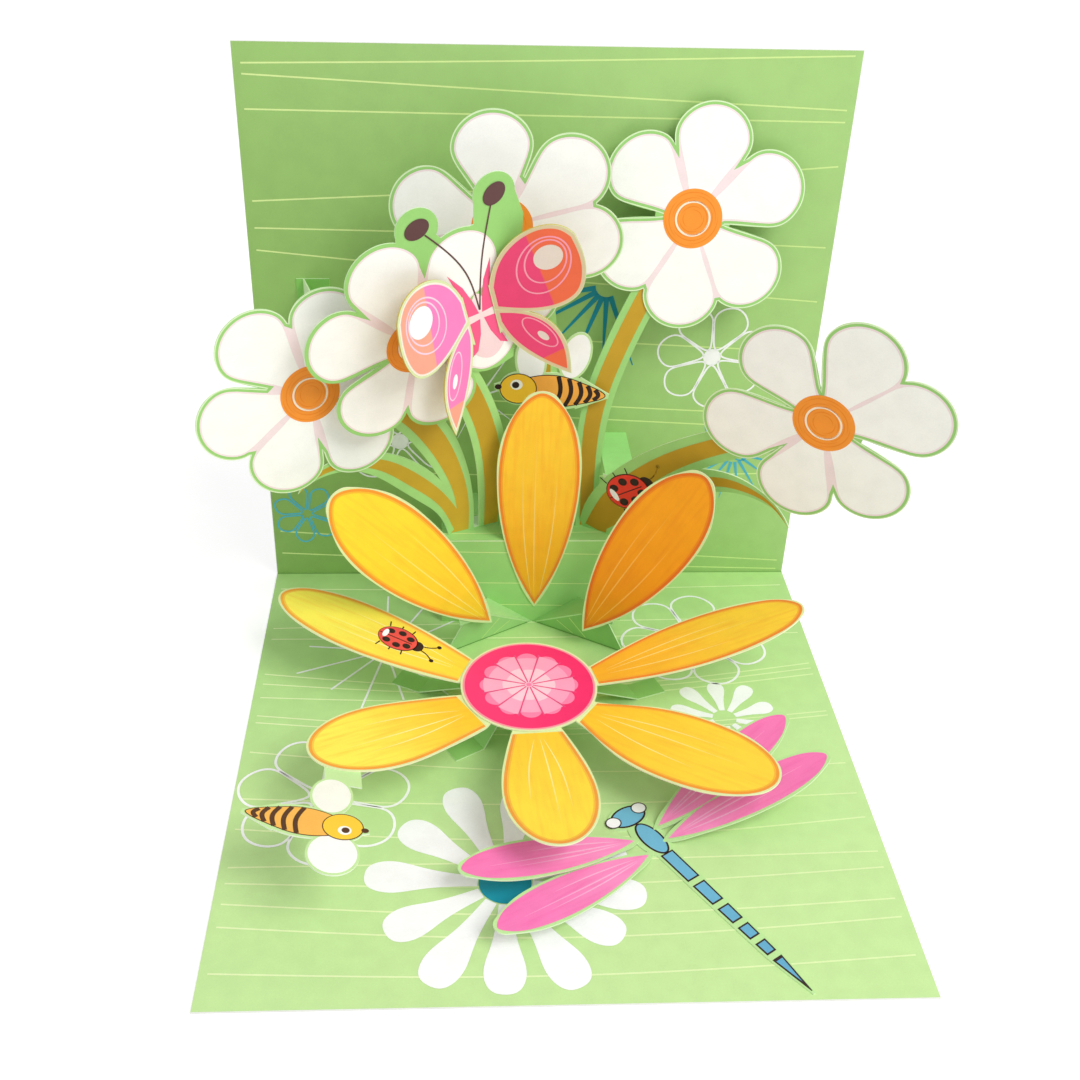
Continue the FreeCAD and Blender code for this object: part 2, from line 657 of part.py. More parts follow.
# Right strut: a level strip from the back panel to the back of the right stem sheet
behind_right_stem = FreeCAD.Placement(right_frame.multVec(vec(0, 0, -paper_thickness)), right_frame.Rotation)
strut_plate = Part.makeBox(strut_width, 60.0, paper_thickness,
                           vec(right_strut_x - strut_width / 2, box_front_y - 21.0, right_strut_height))
wall_flap = placed(
    polygon_plate([(right_strut_x - strut_width / 2, right_strut_height - strut_flap - base_top),
                   (right_strut_x + strut_width / 2, right_strut_height - strut_flap - base_top),
                   (right_strut_x + strut_width / 2, right_strut_height - base_top + paper_thickness / 2),
                   (right_strut_x - strut_width / 2, right_strut_height - base_top + paper_thickness / 2)]),
    back_plane)
stem_flap_frame = behind_right_stem
flap_low = behind_right_stem.inverse().multVec(
    vec(right_strut_x, right_root[1] + math.tan(math.radians(right_turn)) * (right_strut_x - right_root[0]),
        right_strut_height))
stem_side_flap = placed(
    polygon_plate([(flap_low.x - strut_width / 2, flap_low.y - strut_flap),
                   (flap_low.x + strut_width / 2, flap_low.y - strut_flap),
                   (flap_low.x + strut_width / 2, flap_low.y + 1.0),
                   (flap_low.x - strut_width / 2, flap_low.y + 1.0)], -paper_thickness),
    behind_right_stem)
right_strut = join([strut_plate, wall_flap, stem_side_flap])
right_strut = right_strut.common(in_front_of_back).common(half_space(behind_right_stem, -1))
save("right_strut", right_strut.removeSplitter())

# Left strut: an upright strip from the back panel to the back of the left daisy
behind_left_daisy = left_frame
daisy_back_x = -51.5
wall_y = back_face_y(left_strut_height)
start = vec(left_strut_x, wall_y + 4.0, left_strut_height)
daisy_line = (daisy_back_x - left_root[0]) / math.cos(math.radians(left_turn))
end_y = left_root[1] + daisy_line * math.sin(math.radians(left_turn))
run = vec(daisy_back_x, end_y, left_strut_height) - start
strut_turn = math.degrees(math.atan2(run.y, run.x))
upright = FreeCAD.Placement(start, FreeCAD.Rotation(vec(0, 0, 1), strut_turn))
upright_strip = placed(Part.makeBox(run.Length + 8.0, paper_thickness, strut_width), upright)
daisy_flap = placed(
    polygon_plate([(daisy_line - 1.0, left_strut_height - box_top),
                   (daisy_line + strut_flap, left_strut_height - box_top),
                   (daisy_line + strut_flap, left_strut_height - box_top + strut_width),
                   (daisy_line - 1.0, left_strut_height - box_top + strut_width)], -paper_thickness),
    left_frame)
left_wall_flap = placed(
    polygon_plate([(left_strut_x - 0.5, left_strut_height - base_top),
                   (left_strut_x + strut_flap + 2, left_strut_height - base_top),
                   (left_strut_x + strut_flap + 2, left_strut_height - base_top + strut_width),
                   (left_strut_x - 0.5, left_strut_height - base_top + strut_width)]),
    back_plane)
left_strut = join([upright_strip, daisy_flap, left_wall_flap])
left_strut = left_strut.common(in_front_of_back).common(half_space(left_frame, -1))
save("left_strut", left_strut.removeSplitter())
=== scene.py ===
import bpy
import math
import numpy as np
from mathutils import Matrix, Vector


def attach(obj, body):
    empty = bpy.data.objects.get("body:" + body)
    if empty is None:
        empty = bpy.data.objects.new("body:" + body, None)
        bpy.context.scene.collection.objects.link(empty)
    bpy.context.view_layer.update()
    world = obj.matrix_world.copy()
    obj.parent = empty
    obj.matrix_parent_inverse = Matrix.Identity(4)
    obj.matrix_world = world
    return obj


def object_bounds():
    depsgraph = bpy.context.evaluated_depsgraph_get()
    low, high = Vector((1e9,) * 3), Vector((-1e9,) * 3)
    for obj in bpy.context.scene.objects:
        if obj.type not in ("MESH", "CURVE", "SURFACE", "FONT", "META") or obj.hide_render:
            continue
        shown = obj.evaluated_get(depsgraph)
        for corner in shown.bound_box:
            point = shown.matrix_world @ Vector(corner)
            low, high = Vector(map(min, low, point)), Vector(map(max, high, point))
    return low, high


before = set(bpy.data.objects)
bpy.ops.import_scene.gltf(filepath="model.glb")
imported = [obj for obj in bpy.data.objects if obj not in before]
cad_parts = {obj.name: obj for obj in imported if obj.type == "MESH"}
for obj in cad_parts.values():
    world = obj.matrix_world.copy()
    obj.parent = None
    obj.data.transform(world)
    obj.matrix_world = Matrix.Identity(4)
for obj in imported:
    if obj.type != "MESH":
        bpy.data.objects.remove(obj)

cad_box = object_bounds()

# The view: a camera a little above the card and to its left, as far away as the card is wide twice over.
# Positions are in metres in the card's own frame.
camera_data = bpy.data.cameras.new("view")
camera_data.lens = 42.94
camera_data.sensor_width = 36.0
camera_data.shift_x = 0.0226
camera_data.shift_y = -0.0211
camera_data.clip_start = 0.01
camera = bpy.data.objects.new("view", camera_data)
camera.matrix_world = Matrix((
    (0.9989, 0.0019, -0.0476, -0.02298),
    (-0.0411, 0.5387, -0.8415, -0.23792),
    (0.0240, 0.8425, 0.5382, 0.21986),
    (0.0, 0.0, 0.0, 1.0)))
bpy.context.collection.objects.link(camera)
bpy.context.scene.camera = camera


# The folded card: one sheet of 0.4 mm white board, printed lime green on its inner side, with thin pale
# lines across it and simple flowers drawn on it. It is scored and folded once, and cut square.
def linear(colour):
    """A colour as a screen shows it, turned to the linear light that the shaders use."""
    values = [int(colour[i:i + 2], 16) / 255 for i in (0, 2, 4)]
    return tuple(v / 12.92 if v <= 0.04045 else ((v + 0.055) / 1.055) ** 2.4 for v in values) + (1.0,)


def add(tree, kind, inputs=None, out=0, **settings):
    """Adds a shader node, with its settings and its inputs, plain values or links. Gives one output."""
    item = tree.nodes.new("ShaderNode" + kind)
    for key, value in settings.items():
        setattr(item, key, value)
    for key, value in (inputs or {}).items():
        if isinstance(value, bpy.types.NodeSocket):
            tree.links.new(value, item.inputs[key])
        else:
            item.inputs[key].default_value = value
    return item.outputs[out] if item.outputs else None


def coated(material, colour_of):
    """Finishes a paper: its ink, plain or from nodes, under the faint tooth of the coating."""
    material.use_nodes = True
    tree = material.node_tree
    tree.nodes.clear()
    place = add(tree, "TexCoord", out="Object")
    # The coating's tooth is about 0.1 mm; it is drawn at 0.35 mm, so that it shows
    tooth = add(tree, "TexNoise", {"Vector": place, "Scale": 1 / 0.00035, "Detail": 3.0})
    # Ink lies unevenly over patches of about 5 mm
    patch = add(tree, "TexNoise", {"Vector": place, "Scale": 1 / 0.005, "Detail": 2.0})
    ink = colour_of(tree)
    darker = add(tree, "HueSaturation", {"Value": 0.955, "Color": ink})
    uneven = add(tree, "MapRange", {"Value": patch, "From Min": 0.35, "From Max": 0.65})
    mixed = add(tree, "Mix", {0: uneven, 6: ink, 7: darker}, 2, data_type="RGBA")
    speck = add(tree, "MapRange", {"Value": tooth, "From Min": 0.3, "From Max": 0.7, "To Min": 0.975,
                                   "To Max": 1.02})
    final = add(tree, "HueSaturation", {"Value": speck, "Color": mixed})
    gloss = add(tree, "MapRange", {"Value": tooth, "To Min": 0.50, "To Max": 0.66})
    # The tooth is drawn 0.04 mm deep
    bump = add(tree, "Bump", {"Strength": 0.22, "Distance": 0.00004, "Height": tooth})
    # Coated paper: a dull sheen, IOR about 1.5, roughness 0.5 to 0.66
    shader = add(tree, "BsdfPrincipled", {"Base Color": final, "Roughness": gloss, "IOR": 1.5,
                                          "Specular IOR Level": 0.3, "Normal": bump})
    add(tree, "OutputMaterial", {"Surface": shader})
    return material


def printed(name, ink, second=None, direction=(1.0, 0.0), span=(0.0, 1.0), sharp=False, streak=None):
    """Coated paper printed in one ink, or in two that blend along a direction of the sheet, in millimetres.

    Streaks of a third ink, where there are any, run along the sheet's x."""
    def colour_of(tree):
        if second is None:
            return linear(ink)
        place = add(tree, "Attribute", out="Vector", attribute_name="sheet_mm")
        along = add(tree, "VectorMath", {0: place, 1: (*direction, 0.0)}, "Value", operation="DOT_PRODUCT")
        share = add(tree, "MapRange", {"Value": along, "From Min": span[0], "From Max": span[1]},
                    interpolation_type="LINEAR" if sharp else "SMOOTHSTEP")
        blended = add(tree, "Mix", {0: share, 6: linear(ink), 7: linear(second)}, 2, data_type="RGBA")
        if streak is None:
            return blended
        # Brushed streaks, about 16 mm long and 1.4 mm apart
        drawn_out = add(tree, "VectorMath", {0: place, 1: (1 / 16, 1 / 1.4, 1.0)}, operation="MULTIPLY")
        brushed = add(tree, "TexNoise", {"Vector": drawn_out, "Scale": 1.0, "Detail": 2.0})
        amount = add(tree, "MapRange", {"Value": brushed, "From Min": 0.46, "From Max": 0.72, "To Max": 0.38})
        return add(tree, "Mix", {0: amount, 6: blended, 7: linear(streak)}, 2, data_type="RGBA")
    return coated(bpy.data.materials.new(name), colour_of)


def die_cut(name, looks, face, reverse="E4E8DC", edge="D8F0C0", limit=0.6):
    """Paper printed on the side that looks a given way, plain on its reverse, and pale at its cut edge."""
    def colour_of(tree):
        normal = add(tree, "NewGeometry", out="True Normal")
        toward = add(tree, "VectorMath", {0: normal, 1: tuple(Vector(looks).normalized())}, "Value",
                     operation="DOT_PRODUCT")
        front = add(tree, "Math", {0: toward, 1: limit}, operation="GREATER_THAN")
        back = add(tree, "Math", {0: toward, 1: -limit}, operation="LESS_THAN")
        plain = add(tree, "Mix", {0: back, 6: linear(edge), 7: linear(reverse)}, 2, data_type="RGBA")
        return add(tree, "Mix", {0: front, 6: plain, 7: linear(face)}, 2, data_type="RGBA")
    return coated(bpy.data.materials.new(name), colour_of)


def dress(node, material):
    """Gives a solid of the model its material."""
    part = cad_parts[node]
    part.data.materials.clear()
    part.data.materials.append(material)


def lay_print(name, plane, shapes, lift, material):
    """A printed field: closed outlines in the sheet's own millimetres, laid on the sheet at a height.

    Ink is thinner than can be shown, so each layer lies 0.01 to 0.03 mm above the one before. Board and
    stems have their plane at their printed face, other paper at its back, which is 0.35 mm lower."""
    corners = []
    faces = []
    own = []
    mirrored = plane.to_3x3().determinant() < 0
    for shape in shapes:
        area = sum(a[0] * b[1] - b[0] * a[1] for a, b in zip(shape, list(shape[1:]) + [shape[0]]))
        loop = list(shape) if (area > 0) != mirrored else list(shape)[::-1]
        faces.append(list(range(len(corners), len(corners) + len(loop))))
        corners += [(plane @ Vector((x, y, lift))) * 0.001 for x, y in loop]
        own += [(x, y, 0.0) for x, y in loop]
    mesh = bpy.data.meshes.new(name)
    mesh.from_pydata(corners, [], faces)
    place = mesh.attributes.new("sheet_mm", "FLOAT_VECTOR", "POINT")
    place.data.foreach_set("vector", np.array(own, dtype=np.float32).ravel())
    mesh.materials.append(material)
    piece = bpy.data.objects.new(name, mesh)
    bpy.context.collection.objects.link(piece)
    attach(piece, "root")


def lay_prints(name, plane, layers):
    """Several printed fields on one sheet: for each its word, its outlines, its height and its ink."""
    for word, shapes, lift, ink in layers:
        lay_print(name + word, plane, shapes, lift, ink)


def smooth(points, steps=12, closed=False):
    """Points along a smooth curve through the given ones."""
    knots = [tuple(p) for p in points]
    if closed:
        knots = knots[-3:] + knots + knots[:4]
    p = np.array(knots, dtype=float)
    lengths = np.linalg.norm(np.diff(p, axis=0), axis=1)
    count = len(p)
    system = np.zeros((count, count))
    sides = np.zeros((count, 2))
    system[0, 0] = 1.0
    system[-1, -1] = 1.0
    for i in range(1, count - 1):
        system[i, i - 1] = lengths[i - 1]
        system[i, i] = 2 * (lengths[i - 1] + lengths[i])
        system[i, i + 1] = lengths[i]
        sides[i] = 6 * ((p[i + 1] - p[i]) / lengths[i] - (p[i] - p[i - 1]) / lengths[i - 1])
    bend = np.linalg.solve(system, sides)
    first, last = (3, 3 + len(points)) if closed else (0, count - 1)
    line = []
    for i in range(first, last):
        for s in range(steps):
            b = s / steps
            a = 1 - b
            pull = ((a ** 3 - a) * bend[i] + (b ** 3 - b) * bend[i + 1]) * lengths[i] ** 2 / 6
            line.append(tuple(a * p[i] + b * p[i + 1] + pull))
    if not closed:
        line.append(tuple(p[-1]))
    return line


def beside(line, widths, closed=False):
    """The two sides of a line that is as wide at each of its points as widths says."""
    left, right = [], []
    last = len(line) - 1
    for i, (point, width) in enumerate(zip(line, widths)):
        before = line[i - 1 if closed else max(i - 1, 0)]
        after = line[(i + 1) % len(line) if closed else min(i + 1, last)]
        along = Vector((after[0] - before[0], after[1] - before[1])).normalized()
        side = Vector((-along.y, along.x)) * (width / 2)
        left.append(tuple(Vector(point) + side))
        right.append(tuple(Vector(point) - side))
    return left, right


def stroke(line, width, taper=0.0, closed=False):
    """A drawn line as quads; taper is the share of its width that it loses at its two ends."""
    count = len(line)
    widths = [width * (1 - taper * (2 * i / max(count - 1, 1) - 1) ** 2) for i in range(count)]
    left, right = beside(line, widths, closed)
    steps = [(i, (i + 1) % count) for i in range(count if closed else count - 1)]
    return [[right[i], right[j], left[j], left[i]] for i, j in steps]


def turned(points, degrees, centre=(0.0, 0.0)):
    """Points turned about the origin and then moved to a centre."""
    c = math.cos(math.radians(degrees))
    s = math.sin(math.radians(degrees))
    return [(centre[0] + x * c - y * s, centre[1] + x * s + y * c) for x, y in points]


def polar(length, degrees, centre=(0.0, 0.0)):
    """The point at a distance from a centre, in a direction."""
    return turned([(length, 0.0)], degrees, centre)[0]


def sheet_plane(origin, across, up):
    """The plane of a sheet: where it starts, and the two directions along its printed side."""
    return Matrix.Translation(origin) @ Matrix((across, up, across.cross(up))).transposed().to_4x4()


panel = 150.0
board = 0.4
opening = math.radians(90.8)
base_plane = Matrix.Translation((0.0, 0.0, board))
back_plane = Matrix.Translation((0.0, panel / 2, board)) @ Matrix.Rotation(math.pi - opening, 4, "X")

# White board, calendered: the edges and the outside of the card stay white
dress("card_sheet", printed("white calendered board", "F0F2EA"))

# Lime ink, offset printed: flat and slightly uneven, deeper towards the fold, which is partly print and
# partly painted shade
half = panel / 2
# The ink stops a little short of the cut edges
rim = 0.12
base_field = [(-half + rim, -half + rim), (half - rim, -half + rim), (half - rim, half), (-half + rim, half)]
back_field = [(-half + rim, 0.0), (half - rim, 0.0), (half - rim, panel - rim), (-half + rim, panel - rim)]
lay_print("base_panel_print", base_plane, [base_field], 0.02,
          printed("lime ink on board with painted shade, lower panel", "C6E89E", "B6E08C", (-0.25, 1.0), (-30.0, 85.0)))
# The upper panel's ink darkens towards its left and bottom: partly print, partly painted shade where the
# pop-up shades it
lay_print("back_panel_print", back_plane, [back_field], 0.02,
          printed("lime ink on board with painted shade, upper panel", "94BE66", "AAD280", (1.0, 0.6), (-60.0, 115.0)))

# Thin pale lines, drawn by hand across both panels at slightly different slopes
pale_line = printed("pale yellow ink", "DDF3A0", "D2EE98", span=(-half, half))
paler_line = printed("pale yellow ink, lower panel", "E8F8BC", "E0F5B4", span=(-half, half))
base_lines = [(66.9, 66.0, 67.9), (48.2, 50.5, 52.0), (43.4, 43.5, 45.0), (28.5, 22.0, 31.5),
              (24.5, 20.0, 29.4), (19.1, 17.5, 26.9), (12.1, 6.0, 12.0), (9.5, 4.0, 10.4),
              (-1.2, -9.0, -7.2), (-17.0, -20.0, -17.5), (-26.6, -31.0, -25.3), (-38.0, -37.5, -35.9),
              (-42.5, -44.5, -40.6), (-48.2, -52.5, -49.5), (-54.3, -58.5, -54.5), (-66.0, -68.0, -64.5)]
back_lines = [(145.0, 146.5, 148.6), (142.5, 139.0, 135.8), (134.3, 133.6, 132.9), (111.8, 116.0, 122.0),
              (104.9, 103.5, 100.9), (99.1, 92.0, 86.0), (78.0, 75.0, 71.5), (60.0, 56.0, 52.3),
              (56.0, 52.0, 48.1), (36.0, 33.0, 34.0), (14.6, 9.0, 4.0), (7.1, 3.5, 1.0)]
end = half - 2.0
for name, plane, lines, line_ink in (("base_lines", base_plane, base_lines, paler_line),
                                     ("back_lines", back_plane, back_lines, pale_line)):
    quads = []
    for left, middle, right in lines:
        quads += stroke(smooth([(-end, left), (0.0, middle), (end, right)], 10), 0.42)
    lay_print(name, plane, quads, 0.05, line_ink)

# The fold's score: a dark line of painted shade in the crease
lay_print("fold_score", base_plane, stroke([(-half + rim, half - 0.3), (half - rim, half - 0.3)], 0.4), 0.05,
          printed("painted shade at the fold's score", "78AC54"))

# Drawn flowers: white and blue line work, solid white petals and teal rays
white_ink = printed("white ink", "FFFFFF")
blue_ink = printed("light blue ink", "5CC4D8", "4CB4CC", span=(-half, half))
teal_ink = printed("teal ink", "129AB2", "0E8AA6", span=(-half, half))


def rays(centre, count, turn, spread, inner, outer, width):
    """A burst of tapering rays, longer and shorter by turns."""
    shapes = []
    for i in range(count):
        reach = outer * (1.0 if i % 2 else 0.84)
        ray = [(inner, -0.5 * width), (reach, -0.1 * width), (reach, 0.1 * width), (inner, 0.5 * width)]
        shapes.append(turned(ray, turn + spread * i / (count - 1), centre))
    return shapes


def oval(centre, long_radius, short_radius, turn=0.0, count=40):
    """A closed ellipse."""
    steps = [2 * math.pi * i / count for i in range(count)]
    return turned([(long_radius * math.cos(a), short_radius * math.sin(a)) for a in steps], turn, centre)


def round_petals(centre, inner, outer, width, directions):
    """Solid drawn petals: long drops, narrow at the flower's middle and round at the end."""
    shapes = []
    for i, direction in enumerate(directions):
        reach = outer * (1.0 if i % 2 else 0.93)
        side = [(inner, 0.16 * width), (0.5 * (inner + reach), 0.36 * width),
                (reach - 0.45 * width, 0.5 * width), (reach - 0.08 * width, 0.30 * width), (reach, 0.0)]
        shapes.append(turned(smooth(side + [(x, -y) for x, y in side[-2::-1]], 8), direction, centre))
    return shapes


def drawn_flowers(places, width, breadth=0.30, middle=0.0):
    """Flowers in line, each petal one closed loop round its own middle line, some with a solid middle."""
    loop = [(0.16, 0.0), (0.42, 0.62 * breadth), (0.78, breadth), (1.0, 0.0), (0.78, -breadth),
            (0.42, -0.62 * breadth)]
    shapes = []
    for centre, radius, petals, turn in places:
        petal = [(x * radius, y * radius) for x, y in loop]
        for i in range(petals):
            shapes += stroke(smooth(turned(petal, turn + 360 * i / petals, centre), 8, True), width,
                             closed=True)
        if middle:
            shapes.append(oval(centre, middle, middle))
    return shapes


base_white = drawn_flowers((((-54.0, -17.0), 20.5, 7, 12.0), ((43.0, 42.5), 20.0, 7, 30.0)), 0.65, middle=2.6)
star_at = (-41.5, 38.0)
star_rays = 13
for i in range(star_rays):
    direction = 8.0 + 360 * i / star_rays
    base_white += stroke([polar(4.0, direction, star_at), polar(25.0 if i % 2 else 21.0, direction, star_at)],
                         0.55)
daisy_at = (-12.0, -43.5)
daisy_petals = (18, 49, 80, 111, 143, 175, 207, 238, 268, 298, 328, 352)
white_daisy = round_petals(daisy_at, 6.0, 31.0, 8.6, daisy_petals)
white_daisy += round_petals((46.0, 9.5), 3.0, 15.0, 4.4, range(20, 380, 36))
lay_prints("base_", base_plane, (
    ("drawn_flowers", base_white, 0.08, white_ink),
    ("white_daisy", white_daisy, 0.08, white_ink),
    ("daisy_middle", [oval(daisy_at, 5.8, 5.8)], 0.1, teal_ink)))

back_white = drawn_flowers((((46.6, 69.9), 15.0, 7, 16.0), ((-38.0, 44.0), 15.0, 6, 40.0)), 0.5, middle=2.4)
back_white += rays((-16.0, 58.0), 9, 20.0, 300.0, 3.0, 17.0, 0.55)
back_blue = drawn_flowers((((57.0, 48.0), 10.0, 7, 20.0), ((-65.0, 20.5), 9.5, 7, 5.0)), 0.5, 0.26)
back_blue += rays((56.0, 40.5), 8, 195.0, 150.0, 3.0, 15.0, 0.9)
back_teal = rays((17.0, 90.0), 6, 190.0, 100.0, 3.0, 24.0, 1.5)
back_teal += rays((-9.0, 36.0), 5, 40.0, 95.0, 2.0, 15.0, 2.0)
lay_prints("back_", back_plane, (
    ("drawn_flowers", back_white, 0.08, white_ink),
    ("blue_flowers", back_blue, 0.08, blue_ink),
    ("teal_rays", back_teal, 0.07, teal_ink)))


# The step box and the two corner gussets: strips of the same green board, scored, folded and glued into
# the fold. Their faces carry the same pale lines, and their tabs and edges show the white board.
shift = -1.4
box_width = 50.0
box_top = 27.8
box_front = 51.1
dress("step_box", die_cut("green board, folded box", (0.0, -0.7, 0.7), "A4DA80", edge="CFEFB4"))
front_plane = Matrix.Translation((shift, box_front, board)) @ Matrix.Rotation(math.pi / 2, 4, "X")
top_plane = Matrix.Translation((shift, box_front, box_top))
box_end = box_width / 2 - 0.4


def across_box(places, width=0.3):
    """Drawn lines from one end of the box to the other, given by their two ends' heights."""
    quads = []
    for left, right in places:
        quads += stroke([(-box_end, left), (box_end, right)], width)
    return quads


# The creases carry pale lines of painted highlight
crease_highlight = printed("painted highlight along a crease", "D2F2B4")
crease_at = box_top - board - 0.35
lay_prints("box_front_", front_plane, (
    ("lines", across_box(((6.2, 5.0), (13.4, 12.6), (23.6, 22.4))), 0.03, pale_line),
    ("crease", across_box(((crease_at, crease_at),), 0.45), 0.05, crease_highlight)))
lay_print("box_top_lines", top_plane, across_box(((3.0, 3.8), (13.0, 12.0))), 0.03, pale_line)

# Both corners are the same board: the left one is coloured lighter as painted light, the right one darker as
# painted shade
dress("left_gusset", die_cut("green board with painted light, left corner", (0.45, -0.5, 0.7), "B0DE92", "F0F2EA", "D4F2BA",
                             0.3))
dress("right_gusset", die_cut("green board with painted shade, right corner", (-0.45, -0.5, 0.7), "98CE78", "F0F2EA", "D4F2BA",
                              0.3))
gutter = Vector((shift + 0.2, box_front, board))
spine = 27.0
spine_angle = math.radians(50.0)


def spine_end(side):
    """The upper end of a gusset's spine, where a petal is glued."""
    lift = math.sin(spine_angle) / math.sqrt(2)
    return gutter + Vector((side * math.cos(spine_angle), -lift, lift)) * spine


# Each gusset's lower triangle has a crease at its spine, another at its glue flap, and two pale lines
# The spine's crease is a pale line of painted highlight, and the flap's crease a dark line of painted shade
base_angle = math.radians(31.0)
base_reach = Vector((-math.cos(base_angle), -math.sin(base_angle), 0.0)) * 28.0
spine_axis = (spine_end(-1) - gutter).normalized()
gusset_across = spine_axis.cross(base_reach).normalized().cross(spine_axis)
left_side = sheet_plane((0, 0, 0), spine_axis, gusset_across)
flap_end = Vector((base_reach.dot(spine_axis), base_reach.dot(gusset_across)))
flap_side = Vector((-flap_end.y, flap_end.x)).normalized()


def from_flap(share, inward):
    """A point along a gusset's glue flap, and a little way in from it."""
    return tuple(flap_end * share - flap_side * inward)


crease_shade = printed("painted shade in a crease", "74AA54")
gusset_lines = stroke([(spine * 0.34, 0.9), from_flap(0.46, 0.9)], 0.32)
gusset_lines += stroke([(spine * 0.52, 0.9), from_flap(0.60, 0.9)], 0.32)
for side, word in ((-1, "left"), (1, "right")):
    plane = Matrix.Translation(gutter) @ Matrix.Scale(-side, 4, (1, 0, 0)) @ left_side
    lay_prints(word + "_gusset_", plane, (
        ("spine", stroke([(1.5, 0.3), (spine * 0.72, 0.3)], 0.4), 0.03, crease_highlight),
        ("flap_crease", stroke([from_flap(0.06, 0.35), from_flap(0.97, 0.35)], 0.4), 0.03, crease_shade),
        ("lines", gusset_lines, 0.03, pale_line)))


# The stem sheets: stiff paper die-cut into stems and long leaves, printed with an ochre stripe between
# green borders. Each is scored at its foot and glued to the top of the step box.
def standing(origin, turn, lean):
    """The plane of a sheet that faces the front, turned about the vertical and tipped back."""
    spin = math.radians(turn)
    tip = math.radians(lean)
    across = Vector((math.cos(spin), math.sin(spin), 0.0))
    back = Vector((-math.sin(spin), math.cos(spin), 0.0))
    up = Vector((0.0, 0.0, 1.0)) * math.cos(tip) + back * math.sin(tip)
    return sheet_plane(origin, across, up)


left_root = (-17.5, 56.9, box_top)
left_plane = standing(left_root, 24.0, 0.0)
butterfly_plane = standing(left_root, 24.0, -8.0)
middle_plane = standing((0.0, 63.0, box_top), 0.0, -2.5)
tall_plane = standing((12.0, 58.0, box_top), 0.0, 8.3)
right_plane = standing((14.2, 56.7, box_top), -33.0, -8.0)

left_daisy_at = (-43.7, 50.1)
butterfly_daisy_at = (-19.9, 62.8)
top_daisy_at = (-11.4, 84.8)
tall_daisy_at = (24.4, 84.1)
right_daisy_at = (60.8, 54.8)

stem_border = "A9DD84"
dress("left_stem_sheet", die_cut("green bordered paper, left stems", (0.41, -0.91, 0.0), stem_border))
dress("middle_stem_sheet", die_cut("green bordered paper, middle stem", (0.0, -1.0, 0.0), stem_border))
dress("right_stem_sheet", die_cut("green bordered paper, right stems", (-0.28, -0.96, 0.05), "A0D47C"))

stripe_foot = 0.3


def above_foot(points):
    """Points kept above the crease at the foot of the stems."""
    return [(x, max(y, stripe_foot)) for x, y in points]


def stripe(centreline, widths, share):
    """The ochre stripe down a stem: the stem's own line, with a share of its width."""
    left, right = beside(above_foot(centreline), [width * share for width in widths])
    return above_foot(smooth(left, 8) + smooth(right, 8)[::-1])


def leaf_stripe(upper, lower, share, root):
    """The stripe of a leaf, between its upper and its lower side and down to its root on the step box."""
    near, far = [], []
    for a, b in zip(upper, lower):
        middle = (Vector(a) + Vector(b)) / 2
        half_span = (Vector(a) - Vector(b)) / 2 * share
        near.append(tuple(middle + half_span))
        far.append(tuple(middle - half_span))
    foot = [(x, stripe_foot) for x in root]
    return above_foot(smooth(near, 8) + foot + smooth(far, 8)[::-1])


ochre = printed("ochre ink, light", "D0AC30", "BE9826", (0.0, 1.0), (0.0, 60.0))
ochre_deep = printed("ochre ink, deep", "B8901E", "C89E28", (0.0, 1.0), (0.0, 70.0))
stem = 9.0
for name, plane, outline, lift, ink in (
        ("left_stem", left_plane, stripe(
            [(-3.6, -1.0), (-3.6, 9.0), (-7.0, 21.5), (-13.2, 33.0), (-22.0, 42.0), (-33.0, 47.5),
             left_daisy_at],
            [6.5, 6.5, 8.5, stem + 1, stem, stem, stem], 0.56), 0.05, ochre),
        ("left_leaf", left_plane, leaf_stripe(
            [(-48.4, 23.0), (-44.1, 28.0), (-36.4, 30.8), (-26.2, 29.8), (-14.0, 22.1), (-7.9, 15.2),
             (-2.4, 7.2)],
            [(-48.4, 23.0), (-41.9, 26.3), (-33.8, 26.1), (-27.8, 23.2), (-20.6, 16.8), (-10.6, 6.9),
             (-7.5, -1.0)], 0.45, (-4.4, -6.9)), 0.03, ochre),
        ("butterfly_stem", butterfly_plane, stripe(
            [(4.9, -1.0), (4.4, 16.3), (0.6, 33.9), (-4.6, 46.0), (-11.0, 55.5), butterfly_daisy_at],
            [7.0, stem, stem, stem, stem, stem], 0.58), 0.03, ochre),
        ("middle_stem", middle_plane, stripe(
            [(2.0, -1.0), (0.6, 24.0), (-0.4, 46.0), (-1.6, 62.0), (-5.2, 75.0), top_daisy_at],
            [7.0, 8.0, 8.0, 8.0, 8.0, 8.0], 0.56), 0.03, ochre),
        ("tall_stem", tall_plane, stripe(
            [(1.0, -1.0), (1.0, 14.0), (2.2, 33.0), (5.4, 44.5), (10.2, 56.5), (16.6, 70.0), tall_daisy_at],
            [5.5, 6.5, 7.6, 7.6, 7.6, 7.6, 7.6], 0.56), 0.03, ochre_deep),
        ("right_stem", right_plane, stripe(
            [(0.5, -1.0), (6.5, 12.0), (14.0, 21.5), (23.0, 30.5), (33.0, 38.0), (46.0, 46.0),
             right_daisy_at],
            [8.5, 11.0, 11.0, 10.0, stem, stem, stem], 0.50), 0.05, ochre_deep),
        ("right_leaf", right_plane, leaf_stripe(
            [(55.4, 21.3), (51.5, 27.0), (45.4, 30.9), (38.0, 32.4), (30.8, 31.1), (19.0, 23.0), (4.0, 9.0)],
            [(55.4, 21.3), (48.8, 26.8), (43.0, 27.3), (35.6, 25.7), (26.0, 18.5), (15.0, 8.0), (5.5, -1.0)],
            0.45, (2.4, 4.9)), 0.03, ochre_deep)):
    lay_print(name + "_stripe", plane, [outline], lift, ink)
dress("left_strut", die_cut("green board, left strut", (0.3, -0.9, 0.3), "86C660", "8CC868", "D8F0C0", 0.4))
dress("right_strut", die_cut("green board, right strut", (0.0, -0.4, 0.9), "A8E68A", "A8E68A", "D8F0C0", 0.4))


